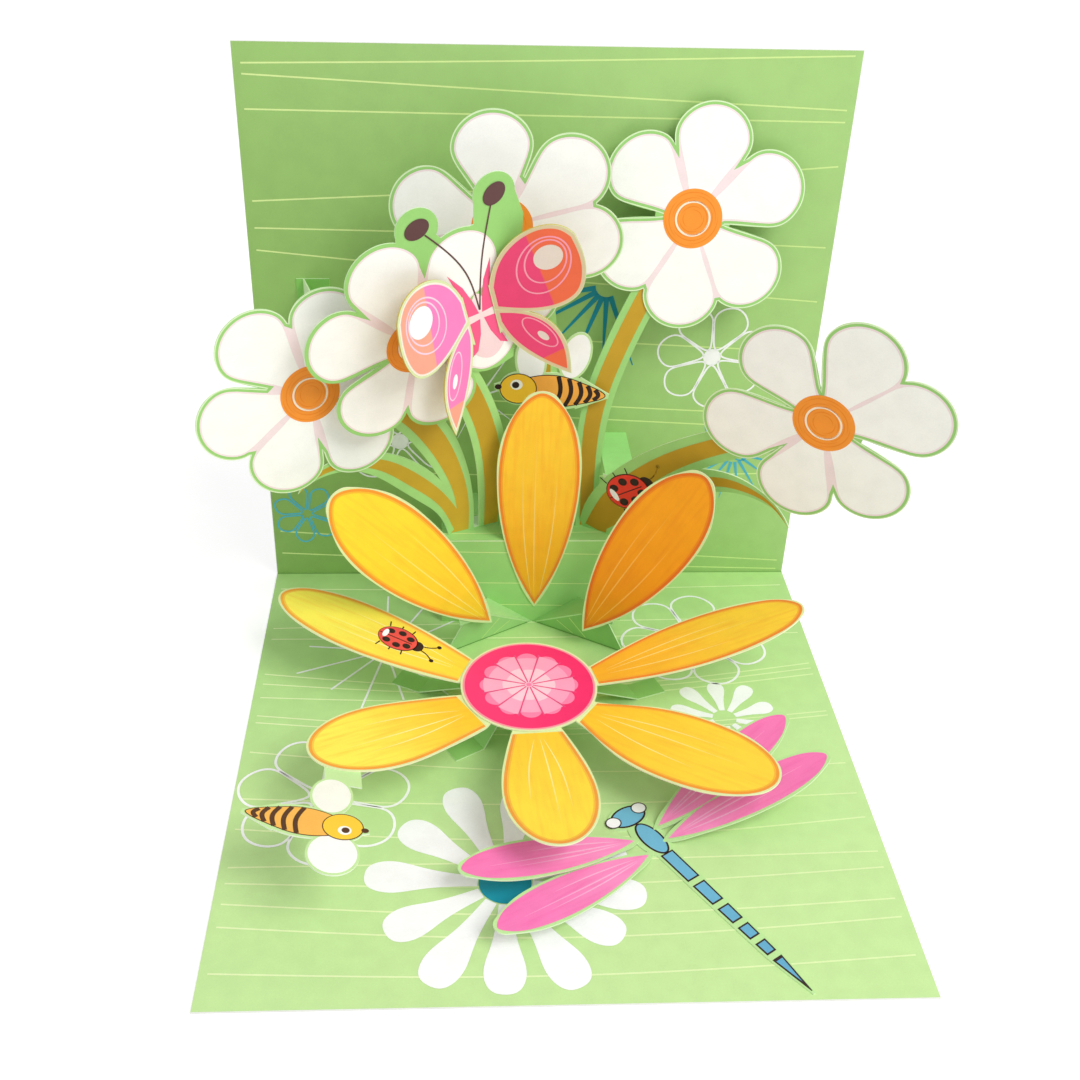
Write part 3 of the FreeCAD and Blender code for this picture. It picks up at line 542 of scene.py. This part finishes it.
# The daisies: white coated paper, die-cut with a green border round six petals, each drawn with a fine
# pink line, and an orange middle. Each is glued to the front of its stem.
petal_width = 19.4
daisies = {
    "daisy_left": (left_plane, left_daisy_at,
                   ((319, 28.0), (258, 28.4), (202, 27.1), (142, 27.8), (80, 27.5), (17, 27.0))),
    "daisy_butterfly": (butterfly_plane, butterfly_daisy_at,
                        ((279, 27.5), (336, 29.5), (29, 32.0), (95, 27.5), (155, 25.8), (214, 27.0))),
    "daisy_top": (middle_plane, top_daisy_at,
                  ((352, 28.4), (50, 30.2), (100, 29.8), (165, 28.0), (228, 27.5), (286, 27.6))),
    "daisy_tall": (tall_plane, tall_daisy_at,
                   ((11, 28.6), (68, 28.8), (133, 28.6), (185, 28.1), (240, 26.5), (313, 26.2))),
    "daisy_right": (right_plane, right_daisy_at,
                    ((317, 26.8), (21, 29.2), (70, 30.4), (138, 27.6), (195, 28.9), (252, 30.5))),
}


def round_petal(direction, length):
    """One petal of a daisy from the flower's middle; its direction is counted from straight up."""
    broad = petal_width / 2
    side = ((0.0, 0.22 * broad), (0.26 * length, 0.47 * broad), (0.5 * length, 0.81 * broad),
            (0.7 * length, broad), (0.92 * length, 0.66 * broad))
    rim_line = smooth(list(side) + [(length, 0.0)] + [(x, -y) for x, y in side[::-1]], 12)
    return turned(rim_line, 90.0 - direction)


def inset(outline, distance):
    """The outline moved inward by a distance, without the loops that its corners would make."""
    points = np.array(outline, dtype=float)
    points = points[np.linalg.norm(np.roll(points, -1, axis=0) - points, axis=1) > 1e-6]
    run = np.roll(points, -1, axis=0) - points
    area = np.sum(points[:, 0] * run[:, 1] - run[:, 0] * points[:, 1])
    unit = run / np.linalg.norm(run, axis=1)[:, None]
    after = np.stack([-unit[:, 1], unit[:, 0]], axis=1) * (1 if area > 0 else -1)
    mitre = after + np.roll(after, 1, axis=0)
    mitre /= np.maximum(np.sum(mitre * after, axis=1), 0.05)[:, None]
    moved = points + mitre * distance
    gaps = moved[:, None, :] - points[None, :, :]
    share = np.clip(np.sum(gaps * run[None], axis=2) / np.sum(run * run, axis=1)[None], 0.0, 1.0)
    nearest = np.linalg.norm(gaps - share[..., None] * run[None], axis=2).min(axis=1)
    return [tuple(p) for p, d in zip(moved, nearest) if d > distance * 0.97]


def placed(plane, place, degrees=0.0):
    """A plane that starts from a place in the given plane and is turned in it."""
    return plane @ Matrix.Translation(place) @ Matrix.Rotation(math.radians(degrees), 4, "Z")


def facing(plane):
    """The direction that a sheet's printed side faces."""
    return plane.to_3x3() @ Vector((0, 0, 1))


def around_all(outlines, count=540):
    """The one outline round petals that meet at the flower's middle, found along rays from there."""
    angles = np.linspace(0.0, 2 * math.pi, count, endpoint=False)
    ray = np.stack([np.cos(angles), np.sin(angles)], axis=1)[:, None, :]
    reach = np.zeros(count)
    for outline in outlines:
        start = np.array(outline)[None]
        run = np.roll(start, -1, axis=1) - start
        cross = ray[..., 0] * run[..., 1] - ray[..., 1] * run[..., 0]
        cross = np.where(np.abs(cross) < 1e-9, 1e-9, cross)
        distance = (start[..., 0] * run[..., 1] - start[..., 1] * run[..., 0]) / cross
        share = (start[..., 0] * ray[..., 1] - start[..., 1] * ray[..., 0]) / cross
        hits = np.where((share >= 0.0) & (share <= 1.0), distance, 0.0)
        reach = np.maximum(reach, hits.max(axis=1))
    return [(r * math.cos(a), r * math.sin(a)) for r, a in zip(reach, angles)]


petal_white = printed("white coated paper, petals", "FFFFFA")
petal_line = printed("pale pink ink", "F8E4E6")
petal_edge = printed("bare cut margin, pale", "DFF4C6")
middle_orange = printed("orange ink", "FC9A34")
middle_ring = printed("cream ink", "FFF0D6")
middle_grain = printed("deep orange ink", "F4861E")
for name, (plane, centre, petals) in daisies.items():
    dress(name, die_cut("green bordered paper, " + name.replace("_", " "), facing(plane), "9CD478", "EDEFE6",
                        "D6F2BE"))
    outlines = [round_petal(*petal) for petal in petals]
    rim_line = around_all(outlines)
    # The orange is brushed on in broken rings
    grains = []
    for i in range(18):
        arc = [math.degrees(2.4 * i + 0.2 * s) for s in range(10)]
        grains += stroke([polar(2.2 + 0.27 * i, degrees) for degrees in arc], 0.2, 0.9)
    prints = [("_petal_lines", [inset(rim_line, 0.95)], 0.37, petal_line),
              ("_petals", [inset(shape, 1.38) for shape in outlines], 0.39, petal_white),
              ("_middle", [oval((0, 0), 7.4, 7.4, 0, 64)], 0.41, middle_orange),
              ("_middle_grain", grains, 0.43, middle_grain),
              ("_middle_ring", stroke(oval((0, 0), 4.2, 4.2, 0, 48), 0.5, closed=True), 0.43, middle_ring)]
    if name != "daisy_butterfly":
        margin = stroke(inset(rim_line, 0.16), 0.30, closed=True)
        prints.insert(0, ("_cut_margin", margin, 0.37, petal_edge))
    lay_prints(name, placed(plane, (*centre, 0.0)), prints)


# The sunflower's petals: yellow printed paper with an orange rim and pale rays, die-cut a little outside
# the print. Three stand on the step box and the gussets, and five are glued under the pink middle.
def outward(origin, azimuth, rise):
    """The plane of a sheet that runs out along azimuth and climbs, with its face up."""
    spin = math.radians(azimuth)
    climb = math.radians(rise)
    along = Vector((math.cos(spin) * math.cos(climb), math.sin(spin) * math.cos(climb), math.sin(climb)))
    across = Vector((-math.sin(spin), math.cos(spin), 0.0))
    return sheet_plane(origin, along, across)


def petal_outline(length, width, fullest=0.65):
    """A pointed oval along +X, as the petals are cut."""
    broad = width / 2
    side = ((0.0, 0.0), (0.16 * length, 0.48 * broad), (0.38 * length, 0.86 * broad),
            (fullest * length, broad), (0.84 * length, 0.82 * broad), (0.96 * length, 0.42 * broad))
    return smooth(list(side) + [(length, 0.0)] + [(x, -y) for x, y in side[:0:-1]] + [(0.0, 0.0)], 10)


def blade_outline(start_width, length, width):
    """A petal's blade along +X from its crease, with the start of its root."""
    root = 3.0
    broad = width / 2
    side = ((0.0, start_width / 2), (0.28 * length, 0.86 * broad), (0.6 * length, broad),
            (0.82 * length, 0.82 * broad), (0.965 * length, 0.40 * broad))
    blade = smooth(list(side) + [(length, 0.0)] + [(x, -y) for x, y in side[::-1]], 10)
    return [(-root, start_width / 2)] + blade + [(-root, -start_width / 2)]


def petal_rays(length, width, start=0.06):
    """Fine rays that run from the root and fan out towards the tip."""
    quads = []
    for share, reach in ((-0.52, 0.62), (0.10, 0.84), (0.46, 0.70)):
        line = smooth([(start * length, share * 0.10 * width), (0.35 * length, share * 0.34 * width),
                       (reach * length, share * 0.42 * width)], 8)
        quads += stroke(line, 0.34, 0.9)
    return quads


def blend(first, second, share):
    """A colour on the way from the first to the second."""
    pairs = [(int(first[i:i + 2], 16), int(second[i:i + 2], 16)) for i in (0, 2, 4)]
    return "".join("%02X" % round(a + (b - a) * share) for a, b in pairs)


def within(outline, distance):
    """A petal's outline moved inward, but kept whole at its root, where x is 0."""
    return [(max(x, 0.05), y) for x, y in inset(outline, distance)]


def sunflower_petal(name, plane, outline, length, width, cut_inks, inks):
    """Dresses a petal and prints it: an orange rim that fades inward, a yellow field and faint rays."""
    words = name.replace("_", " ")
    border, edge = cut_inks
    tip_ink, root_ink, rim_ink, ray_ink = inks
    dress(name, die_cut("cream bordered paper, " + words, facing(plane), border, "EDEFE6", edge))
    field = printed("yellow ink, " + words, root_ink, tip_ink, (1, 0), (0.0, 0.8 * length),
                    streak=blend(root_ink, rim_ink, 0.35))
    ray = printed("pale ray ink, " + words, ray_ink, tip_ink, (1, 0), (0.3 * length, length))
    fading = printed("fading rim ink, " + words, blend(rim_ink, tip_ink, 0.5))
    lay_prints(name, plane, (
        ("_rim", [within(outline, 0.45)], 0.37, printed("orange rim ink, " + words, rim_ink)),
        ("_rim_fade", [within(outline, 1.15)], 0.385, fading),
        ("_field", [within(outline, 1.6)], 0.40, field),
        ("_rays", petal_rays(length, width), 0.415, ray)))


hub = Vector((-4.5, 9.1, 11.7))
crease_radius = 17.3


def lower_plane(azimuth, climb):
    """The plane of a lower petal, which climbs from its crease beside the sunflower's middle."""
    return outward(hub + Vector((*polar(crease_radius, azimuth), 0.0)), azimuth, climb)


upper_turn = 28.0
upper_lean = 6.0
back_foot = (shift + 0.6, box_front, board + 5.2)
upper_petals = {
    "petal_upper_left": (placed(standing(spine_end(-1), upper_turn, upper_lean), (5.9, -5.5, 0.0), 130.0),
                         64.5, 21.0, ("FFDE32", "FFD42E", "F59A2C", "FFE972")),
    "petal_upper_right": (placed(standing(spine_end(1), -upper_turn, upper_lean), (-4.7, -8.1, 0.0), 63.0),
                          60.5, 21.0, ("FCA814", "F29A12", "E8741C", "FFC050")),
    "petal_back": (placed(standing(back_foot, 0.0, 0.0), (0.0, 0.0, 0.0), 90.0),
                   67.0, 22.0, ("FFCE34", "FFB41E", "F48A28", "FFD870")),
}
# Each lower petal: its azimuth and climb in degrees, its length, width and crease, and its inks
lower_petals = {
    "petal_left": (158.5, 12.0, 52.0, 18.5, 10.0, ("FFF05A", "FFDC40", "F7A83C", "FFF6A4")),
    "petal_lower_left": (212.5, 10.0, 43.5, 22.5, 14.0, ("FFF05A", "FFCE34", "F6A23C", "FFF4A0")),
    "petal_front": (274.0, 7.0, 40.5, 21.5, 12.8, ("FFE044", "FFD43A", "F2A040", "FFF098")),
    "petal_lower_right": (324.0, 5.0, 49.5, 24.0, 9.2, ("FFD83E", "FFCC32", "F49A34", "FFEA8C")),
    "petal_right": (13.0, 12.5, 57.0, 18.0, 7.6, ("FFD038", "FAB62A", "F28A30", "FFDE7C")),
}
for name, (plane, length, width, inks) in upper_petals.items():
    sunflower_petal(name, plane, petal_outline(length, width), length, width, ("DCEEA8", "F0F0C8"), inks)
for name, (azimuth, climb, length, width, crease, inks) in lower_petals.items():
    sunflower_petal(name, lower_plane(azimuth, climb), blade_outline(crease, length, width), length, width,
                    ("E2F0AC", "F4F4CC"), inks)


# The sunflower's middle: a round of coated paper printed hot pink, with a rosette of pale wedges. It is
# glued over the petals' roots, on the hub of a folded stand of green strip.
paper = 0.35
disc_plane = Matrix.Translation(hub + Vector((0.0, 0.0, paper)))
dress("centre_disc", die_cut("cream bordered paper, middle", (0, 0, 1), "E4F0B8", "EDEFE6", "E4F0C0"))
dress("flower_stand", die_cut("green board, stand", (0, 0, 1), "9AD276", "9AD276", "D8F0C0", 0.3))
rosette = 12
rosette_step = 360 / rosette


def wedges_round(inner, long_reach, short_reach, span):
    """A ring of slices about the flower's middle, longer and shorter by turns; span is in degrees."""
    shares = [s / 6 for s in range(7)]
    slices = []
    for i in range(rosette):
        outer = short_reach if i % 2 else long_reach
        first = rosette_step * i - span / 2
        far = [polar(outer, first + span * share) for share in shares]
        near = [polar(inner, first + span - span * share) for share in shares]
        slices.append(far + near)
    return slices


scallops = [oval(polar(9.6, rosette_step * i), 2.7, 2.7, 0, 20) for i in range(rosette)]
veins = []
for i in range(rosette):
    between_wedges = rosette_step * (i + 0.5)
    veins += stroke([polar(1.0, between_wedges), polar(12.0, between_wedges)], 0.35)
lay_prints("middle_", disc_plane, (
    ("border", [oval((0, 0), 16.5, 16.5, 0, 96)], 0.37, printed("rose ink", "FF9CAA")),
    ("field", [oval((0, 0), 16.0, 16.0, 0, 96)], 0.385,
     printed("hot pink ink", "FF3C7C", "F82C70", (1, 0), (-17, 17))),
    ("scallops", scallops + [oval((0, 0), 10.4, 10.4, 0, 72)], 0.40, printed("pink scallop ink", "FF88B4")),
    ("wedges", wedges_round(0.6, 11.4, 10.4, 27.5), 0.415,
     printed("pale pink ink", "FFB4D2", "FFA4C8", (1, 0), (-17, 17))),
    ("heart", wedges_round(0.8, 6.6, 5.8, 25.0), 0.43, printed("blush ink", "FFD2E4")),
    ("veins", veins, 0.445, printed("vein ink", "F2508C"))))


# The butterfly: its body and feelers are printed on the daisy's sheet, and its two pairs of wings are one
# strip threaded through slots in that sheet and folded up, printed pink and coral with rings.
body_at = (butterfly_daisy_at[0] + 16.65, butterfly_daisy_at[1] + 5.2)
body_plane = placed(butterfly_plane, (*body_at, 0.0), 17.4)
dress("butterfly_wings", die_cut("green bordered paper, wings", facing(body_plane), "D9E8B0", "C8A850",
                                 "D0B858", 0.62))
fore = smooth([(0.0, 6.6), (2.2, 12.2), (5.3, 16.2), (9.8, 19.2), (14.8, 20.3), (19.5, 18.8),
               (22.0, 16.0)], 8)[:-1]
fore += smooth([(22.0, 16.0), (23.2, 10.0), (22.9, 4.0), (20.6, -0.8), (17.2, -2.8), (12.0, -3.4),
                (6.0, -2.2), (0.0, 0.0)], 8)
hind = smooth([(0.0, 0.0), (6.0, -1.8), (11.6, -6.0), (14.6, -11.8), (15.4, -17.5), (14.8, -24.6)], 8)[:-1]
hind += smooth([(14.8, -24.6), (11.0, -21.4), (6.4, -16.6), (2.9, -11.6), (0.9, -7.2), (0.0, -4.0)], 8)
rings = stroke(oval((13.6, 9.4), 8.0, 6.2, 62, 48), 0.4, closed=True)
rings += stroke(oval((14.2, 10.4), 6.0, 4.8, 62, 48), 0.4, closed=True)
rings += stroke(oval((9.4, -9.6), 6.0, 2.3, -58, 32), 0.35, closed=True)
slot_spacing = 7.2
# The right wings' inks are darker and greyer than the left's: partly print, partly painted shade
for side, word, fold, main, outer, spot, ring, margin, edge, spot_size in (
        (-1, "left", 30.0, "FF84C4", "FFA890", "FFFFFF", "FFD4E6", "FFEFE2", 0.6, 4.2),
        (1, "right", 20.0, "EC4678", "F06C48", "E6D8CC", "F7A0B4", "DCC8A0", 0.18, 3.6)):
    wing_plane = (body_plane @ Matrix.Translation((side * slot_spacing / 2, 0.0, paper))
                  @ Matrix.Scale(side, 4, (1, 0, 0)) @ Matrix.Rotation(math.radians(-fold), 4, "Y"))
    spots = [oval((15.0, 11.4), spot_size, spot_size * 0.92, 30, 32),
             oval((10.0, -10.8), 1.9, 0.9, -58, 24)]
    lay_prints(word, wing_plane, (
        ("_wing_borders", [inset(fore, edge), inset(hind, edge)], 0.37,
         printed("cream ink, " + word + " wings", margin)),
        ("_hind_wing_field", [inset(hind, 1.0)], 0.39,
         printed("pink and coral ink, " + word + " hind wing", main, outer, (0.3, -1.0), (20.2, 20.6), True)),
        ("_fore_wing_field", [inset(fore, 1.05)], 0.39,
         printed("pink and coral ink, " + word + " wings", main, outer, (1, 0.15), (13.6, 14.0), True)),
        ("_wing_rings", rings, 0.41, printed("pale ring ink, " + word + " wings", ring)),
        ("_wing_spots", spots, 0.42, printed("spot ink, " + word + " wings", spot))))

left_knob = (butterfly_daisy_at[0] - 1.0, butterfly_daisy_at[1] + 30.2)
right_knob = (butterfly_daisy_at[0] + 17.4, butterfly_daisy_at[1] + 36.4)
feelers = stroke(smooth([(body_at[0] - 0.6, body_at[1] + 1.6), (body_at[0] - 4.8, body_at[1] + 12.0),
                         (left_knob[0] + 2.0, left_knob[1] - 1.6)], 10), 0.38)
feelers += stroke(smooth([(body_at[0] - 0.5, body_at[1] + 1.6), (body_at[0] - 1.0, body_at[1] + 16.0),
                          (right_knob[0] - 0.6, right_knob[1] - 2.6)], 10), 0.38)
knobs = [oval(left_knob, 3.1, 2.4, 30, 32), oval(right_knob, 3.1, 2.4, 50, 32)]
lay_print("feelers", butterfly_plane, feelers + knobs, 0.465,
          printed("dark brown ink", "5C3C3C", "684848", (1, 0), (-60, 60)))
wedges = []
for side in (-1, 1):
    for wedge in ([(0.4, 0.8), (3.6, 1.0), (3.9, 5.0), (4.3, 8.8), (5.6, 14.4), (2.7, 9.4), (1.2, 4.6)],
                  [(0.5, -0.9), (3.5, -1.2), (3.7, -6.4), (4.9, -10.8), (3.0, -9.6), (1.3, -5.2)]):
        wedges.append([(side * x, y) for x, y in wedge])
body = smooth([(0.0, 6.5), (-3.0, 1.0), (-4.6, -9.0), (0.0, -13.0), (4.6, -9.0), (3.0, 1.0)], 8, True)
lay_prints("body_", body_plane, (
    ("blush", [body], 0.43, printed("blush body ink", "FBE9E6", "F9DADD", (0, -1), (-6, 12))),
    ("wedges", wedges, 0.45, printed("rose pink ink", "FF6494", "F6588C", (1, 0), (-10, 10)))))


# The bees: one die-cut sheet each, printed with an orange striped body, a yellow head and pale wings, with
# a plain dot for an eye. One is glued to the middle stem, the other rides on a tongue under a petal.
dark = printed("near black ink", "2E1C18")
bee_wing = printed("pale wing ink", "FAFBEE", "FFFFFC", (0, 1), (-12, 12))


def bee(name, plane, border, edge, wings, body_ink, head_ink, stripe_ink):
    """Dresses a bee's sheet and prints it. A wing is its place, half its width and height, and its turn."""
    words = name.replace("_", " ")
    dress(name, die_cut("green bordered paper, " + words, facing(plane), border, "EDEFE6", edge))
    bee_orange = printed("bee orange ink, " + words, body_ink)
    bee_yellow = printed("bee yellow ink, " + words, head_ink)
    bee_dark = printed("bee brown ink, " + words, stripe_ink)
    stripes = []
    for x, tall in ((0.6, 4.5), (3.4, 4.1), (6.1, 3.4), (8.5, 2.5), (10.6, 1.5)):
        stripes += stroke(smooth([(x - 0.3, tall), (x + 0.8, 0.0), (x - 0.3, -tall)], 8), 1.15)
    body = smooth([(-9.0, 2.8), (-4.0, 4.4), (1.5, 4.6), (7.0, 3.2), (13.4, 0.0), (7.0, -3.2), (1.5, -4.6),
                   (-4.0, -4.4), (-9.0, -2.8)], 8)
    head_at = (-9.6, -0.2)
    eye = [oval((-10.4, 0.8), 0.95, 0.95, 0, 24), oval((-14.8, -0.2), 0.9, 0.75, 0, 20)]
    lay_prints(name, plane, (
        ("_wings", [oval((x, y), a - 0.6, b - 0.6, turn, 36) for x, y, a, b, turn in wings], 0.37, bee_wing),
        ("_body_outline", [body], 0.39, bee_dark),
        ("_body", [inset(body, 0.25)], 0.40, bee_orange),
        ("_stripes", stripes, 0.42, bee_dark),
        ("_head_outline", [oval(head_at, 4.85, 4.45, 0, 36)], 0.43, bee_dark),
        ("_head", [oval(head_at, 4.6, 4.2, 0, 36)], 0.44, bee_yellow),
        ("_eye_white", [oval((-10.2, 0.9), 1.6, 1.5, 0, 24)], 0.45, bee_wing),
        ("_eye", eye, 0.46, bee_dark)))


bee("upper_bee", placed(middle_plane, (3.2, 39.8, 0.0), -6.0),
    "C4E8A0", "E4F4D0", ((3.8, 10.6, 4.1, 7.0, -8.0), (-7.4, 8.0, 4.1, 7.0, 12.0)),
    "FFB24A", "FFCA34", "2E1C18")
under_petal = lower_plane(*lower_petals["petal_lower_left"][:2])
bee("lower_bee", placed(under_petal, (54.7, 18.1, -paper), -39.0) @ Matrix.Diagonal((0.9, 0.9, 1.0, 1.0)),
    "C8ECA4", "E8F6D8", ((-5.0, -10.4, 5.2, 6.6, 10.0), (-8.9, 9.0, 6.2, 6.9, 10.0)),
    "FBBC56", "FFD03C", "54341E")


# The ladybirds: printed on the right stem and on the left petal, red with dark spots and fine feelers.
shine = printed("white shine ink", "FFFFFF")


def ladybird(name, plane, size, body_ink, lift):
    """Prints a ladybird that heads along +X of the plane, at a share of its full size."""
    legs = []
    for side in (-1, 1):
        for x in (-4.6, -0.6, 3.2):
            legs += stroke([(x * size, side * 4.2 * size), (x * size * 1.15, side * 6.4 * size)], 0.35)
        tip = (13.4 * size, side * 3.6 * size)
        feeler = [(7.0 * size, side * 0.8 * size), (10.6 * size, side * 1.6 * size), tip]
        legs += stroke(smooth(feeler, 8), 0.35)
        legs.append(oval(tip, 0.6, 0.6, 0, 16))
    spots = [oval((x * size, y * size), 1.35 * size, 1.15 * size, 0, 20)
             for x, y in ((-3.4, 2.2), (-3.2, -2.4), (0.4, 3.0), (0.6, -3.0), (3.8, 1.8), (3.8, -1.8))]
    spots += stroke([(-6.5 * size, 0.0), (5.0 * size, 0.0)], 0.3)
    edges = [oval((0, 0), 6.9 * size, 5.3 * size), oval((6.8 * size, 0), 2.2 * size, 2.4 * size, 0, 24)]
    lay_prints(name, plane, (
        ("_legs", legs, lift, dark),
        ("_outline", edges, lift + 0.01, dark),
        ("_body", [oval((-0.1, 0), 6.6 * size, 5.0 * size)], lift + 0.02, body_ink),
        ("_spots", spots, lift + 0.03, dark),
        ("_shine", [oval((-4.6 * size, 0.4 * size), 0.9 * size, 2.0 * size, 0, 20)], lift + 0.035, shine)))


ladybird("stem_ladybird", placed(right_plane, (11.4, 17.0, 0.0), 38.0), 1.0, printed("red ink", "F23E2E"),
         0.05)
left_blade = lower_plane(*lower_petals["petal_left"][:2])
ladybird("petal_ladybird", placed(left_blade, (19.0, -1.2, 0.0), 180.0), 0.78,
         printed("faded red ink", "EC544A"), 0.43)


# The dragonfly: one die-cut sheet with its body glued flat on the card and four wings creased up from it,
# printed with a blue jointed body and pink wings with faint rays.
dress("dragonfly", die_cut("green bordered paper, dragonfly", (0, 0, 1), "BEE89C", "EDEFE6", "E0F6CC"))
wing_pink = printed("dragonfly pink ink", "FF94CA", "F97CBA", (1, 0), (4, 40), streak="F260A8")
wing_ray = printed("pale pink ray ink", "FFC0E0", "FFA8D2", (1, 0), (4, 40))
wing_length = 45.0
wing = inset(petal_outline(wing_length, 11.2, 0.6), 0.6)
for i, (root, azimuth, climb) in enumerate((((22.6, -28.8), 36.5, 15.5), ((24.2, -32.4), 21.5, 15.0),
                                            ((19.2, -31.8), 200.5, 10.5), ((21.8, -35.6), 215.0, 7.5))):
    plane = outward((*root, board), azimuth, climb)
    lay_print("dragonfly_wing_%d" % (i + 1), plane, [wing], 0.37, wing_pink)
    lay_print("dragonfly_wing_rays_%d" % (i + 1), plane, petal_rays(wing_length, 9.0, 0.12), 0.39, wing_ray)
thorax = oval((21.9, -31.4), 5.3, 2.6, -57.0)
head = oval((17.2, -24.6), 4.7, 3.0, 33.0)
tail_start = Vector((23.6, -34.2))
tail_run = Vector((49.4, -73.6)) - tail_start
tail_side = Vector((-tail_run.y, tail_run.x)).normalized()


def on_tail(share, aside=0.0):
    """A point at a share of the tail's length, beside its middle line."""
    return tuple(tail_start + tail_run * share + tail_side * aside)


# Each joint of the tail: where it starts and stops, as shares, and half its width there
tail = [[on_tail(start, near), on_tail(stop, far), on_tail(stop, -far), on_tail(start, -near)]
        for start, stop, near, far in ((0.04, 0.235, 1.75, 1.7), (0.265, 0.40, 1.7, 1.62),
                                       (0.43, 0.53, 1.6, 1.5), (0.56, 0.64, 1.5, 1.42),
                                       (0.67, 0.745, 1.4, 1.3), (0.775, 0.985, 1.3, 0.12))]
blue_shapes = [inset(thorax, 0.45), inset(head, 0.45)] + [inset(joint, 0.4) for joint in tail[:-1]]
blue_shapes.append([on_tail(0.79, 0.85), on_tail(0.93), on_tail(0.79, -0.85)])
eyes = [(13.6, -26.6), (20.0, -21.9)]
lay_prints("dragonfly_", base_plane, (
    ("outline", [thorax, head], 0.39, dark),
    ("tail_outline", tail, 0.39, dark),
    ("body", blue_shapes, 0.41, printed("dragonfly blue ink", "74BCDA", "62AACC", (1, 0), (15, 50))),
    ("eye_outlines", [oval(eye, 1.95, 1.75, 20, 28) for eye in eyes], 0.42, dark),
    ("eyes", [oval(eye, 1.65, 1.45, 20, 28) for eye in eyes], 0.435, shine)))


# The studio: a wide pale floor that keeps the card's shadow, a soft lamp high on the right, and even light
# from all round. The sky is plain white where the camera sees it.
floor_mesh = bpy.data.meshes.new("floor")
floor_mesh.from_pydata([(-4, -4, 0), (4, -4, 0), (4, 4, 0), (-4, 4, 0)], [], [(0, 1, 2, 3)])
floor = bpy.data.objects.new("floor", floor_mesh)
floor.location.z = cad_box[0][2] - 0.0001
bpy.context.collection.objects.link(floor)
paper_floor = bpy.data.materials.new("white paper sweep")
paper_floor.use_nodes = True
tree = paper_floor.node_tree
tree.nodes.clear()
speck = add(tree, "TexNoise", {"Scale": 900.0})
tone = add(tree, "Mix", {0: speck, 6: linear("FCFCFC"), 7: linear("F9F9F9")}, 2, data_type="RGBA")
matt = add(tree, "BsdfDiffuse", {"Color": tone})
# Where the camera sees it, the floor glows a little, as a lit sweep does
seen = add(tree, "LightPath", out="Is Camera Ray")
glow = add(tree, "Emission", {"Color": (1, 1, 1, 1), "Strength": 0.34})
sum_up = add(tree, "AddShader", {0: matt, 1: glow})
kept = add(tree, "MixShader", {0: seen, 1: matt, 2: sum_up})
add(tree, "OutputMaterial", {"Surface": kept})
floor_mesh.materials.append(paper_floor)

world = bpy.data.worlds.new("studio")
bpy.context.scene.world = world
world.use_nodes = True
tree = world.node_tree
tree.nodes.clear()
seen = add(tree, "LightPath", out="Is Camera Ray")
others = seen.node.outputs
seen_or_gloss = add(tree, "Math", {0: seen, 1: others["Is Glossy Ray"]}, operation="MAXIMUM")
direct = add(tree, "Math", {0: seen_or_gloss, 1: others["Is Transmission Ray"]}, operation="MAXIMUM")
around = add(tree, "Background", {"Color": (1, 1, 1, 1), "Strength": 0.65})
backdrop = add(tree, "Background", {"Color": (1, 1, 1, 1), "Strength": 1.0})
both = add(tree, "MixShader", {0: direct, 1: around, 2: backdrop})
add(tree, "OutputWorld", {"Surface": both})

lamp_data = bpy.data.lights.new("softbox", "AREA")
lamp_data.shape = "SQUARE"
lamp_data.size = 0.55
lamp_data.energy = 7.5
lamp = bpy.data.objects.new("softbox", lamp_data)
lamp.location = (0.54, -0.49, 0.92)
aim = Vector((0.0, 0.02, 0.04)) - lamp.location
lamp.rotation_euler = aim.to_track_quat("-Z", "Y").to_euler()
bpy.context.collection.objects.link(lamp)

bpy.context.scene.view_settings.view_transform = "Standard"
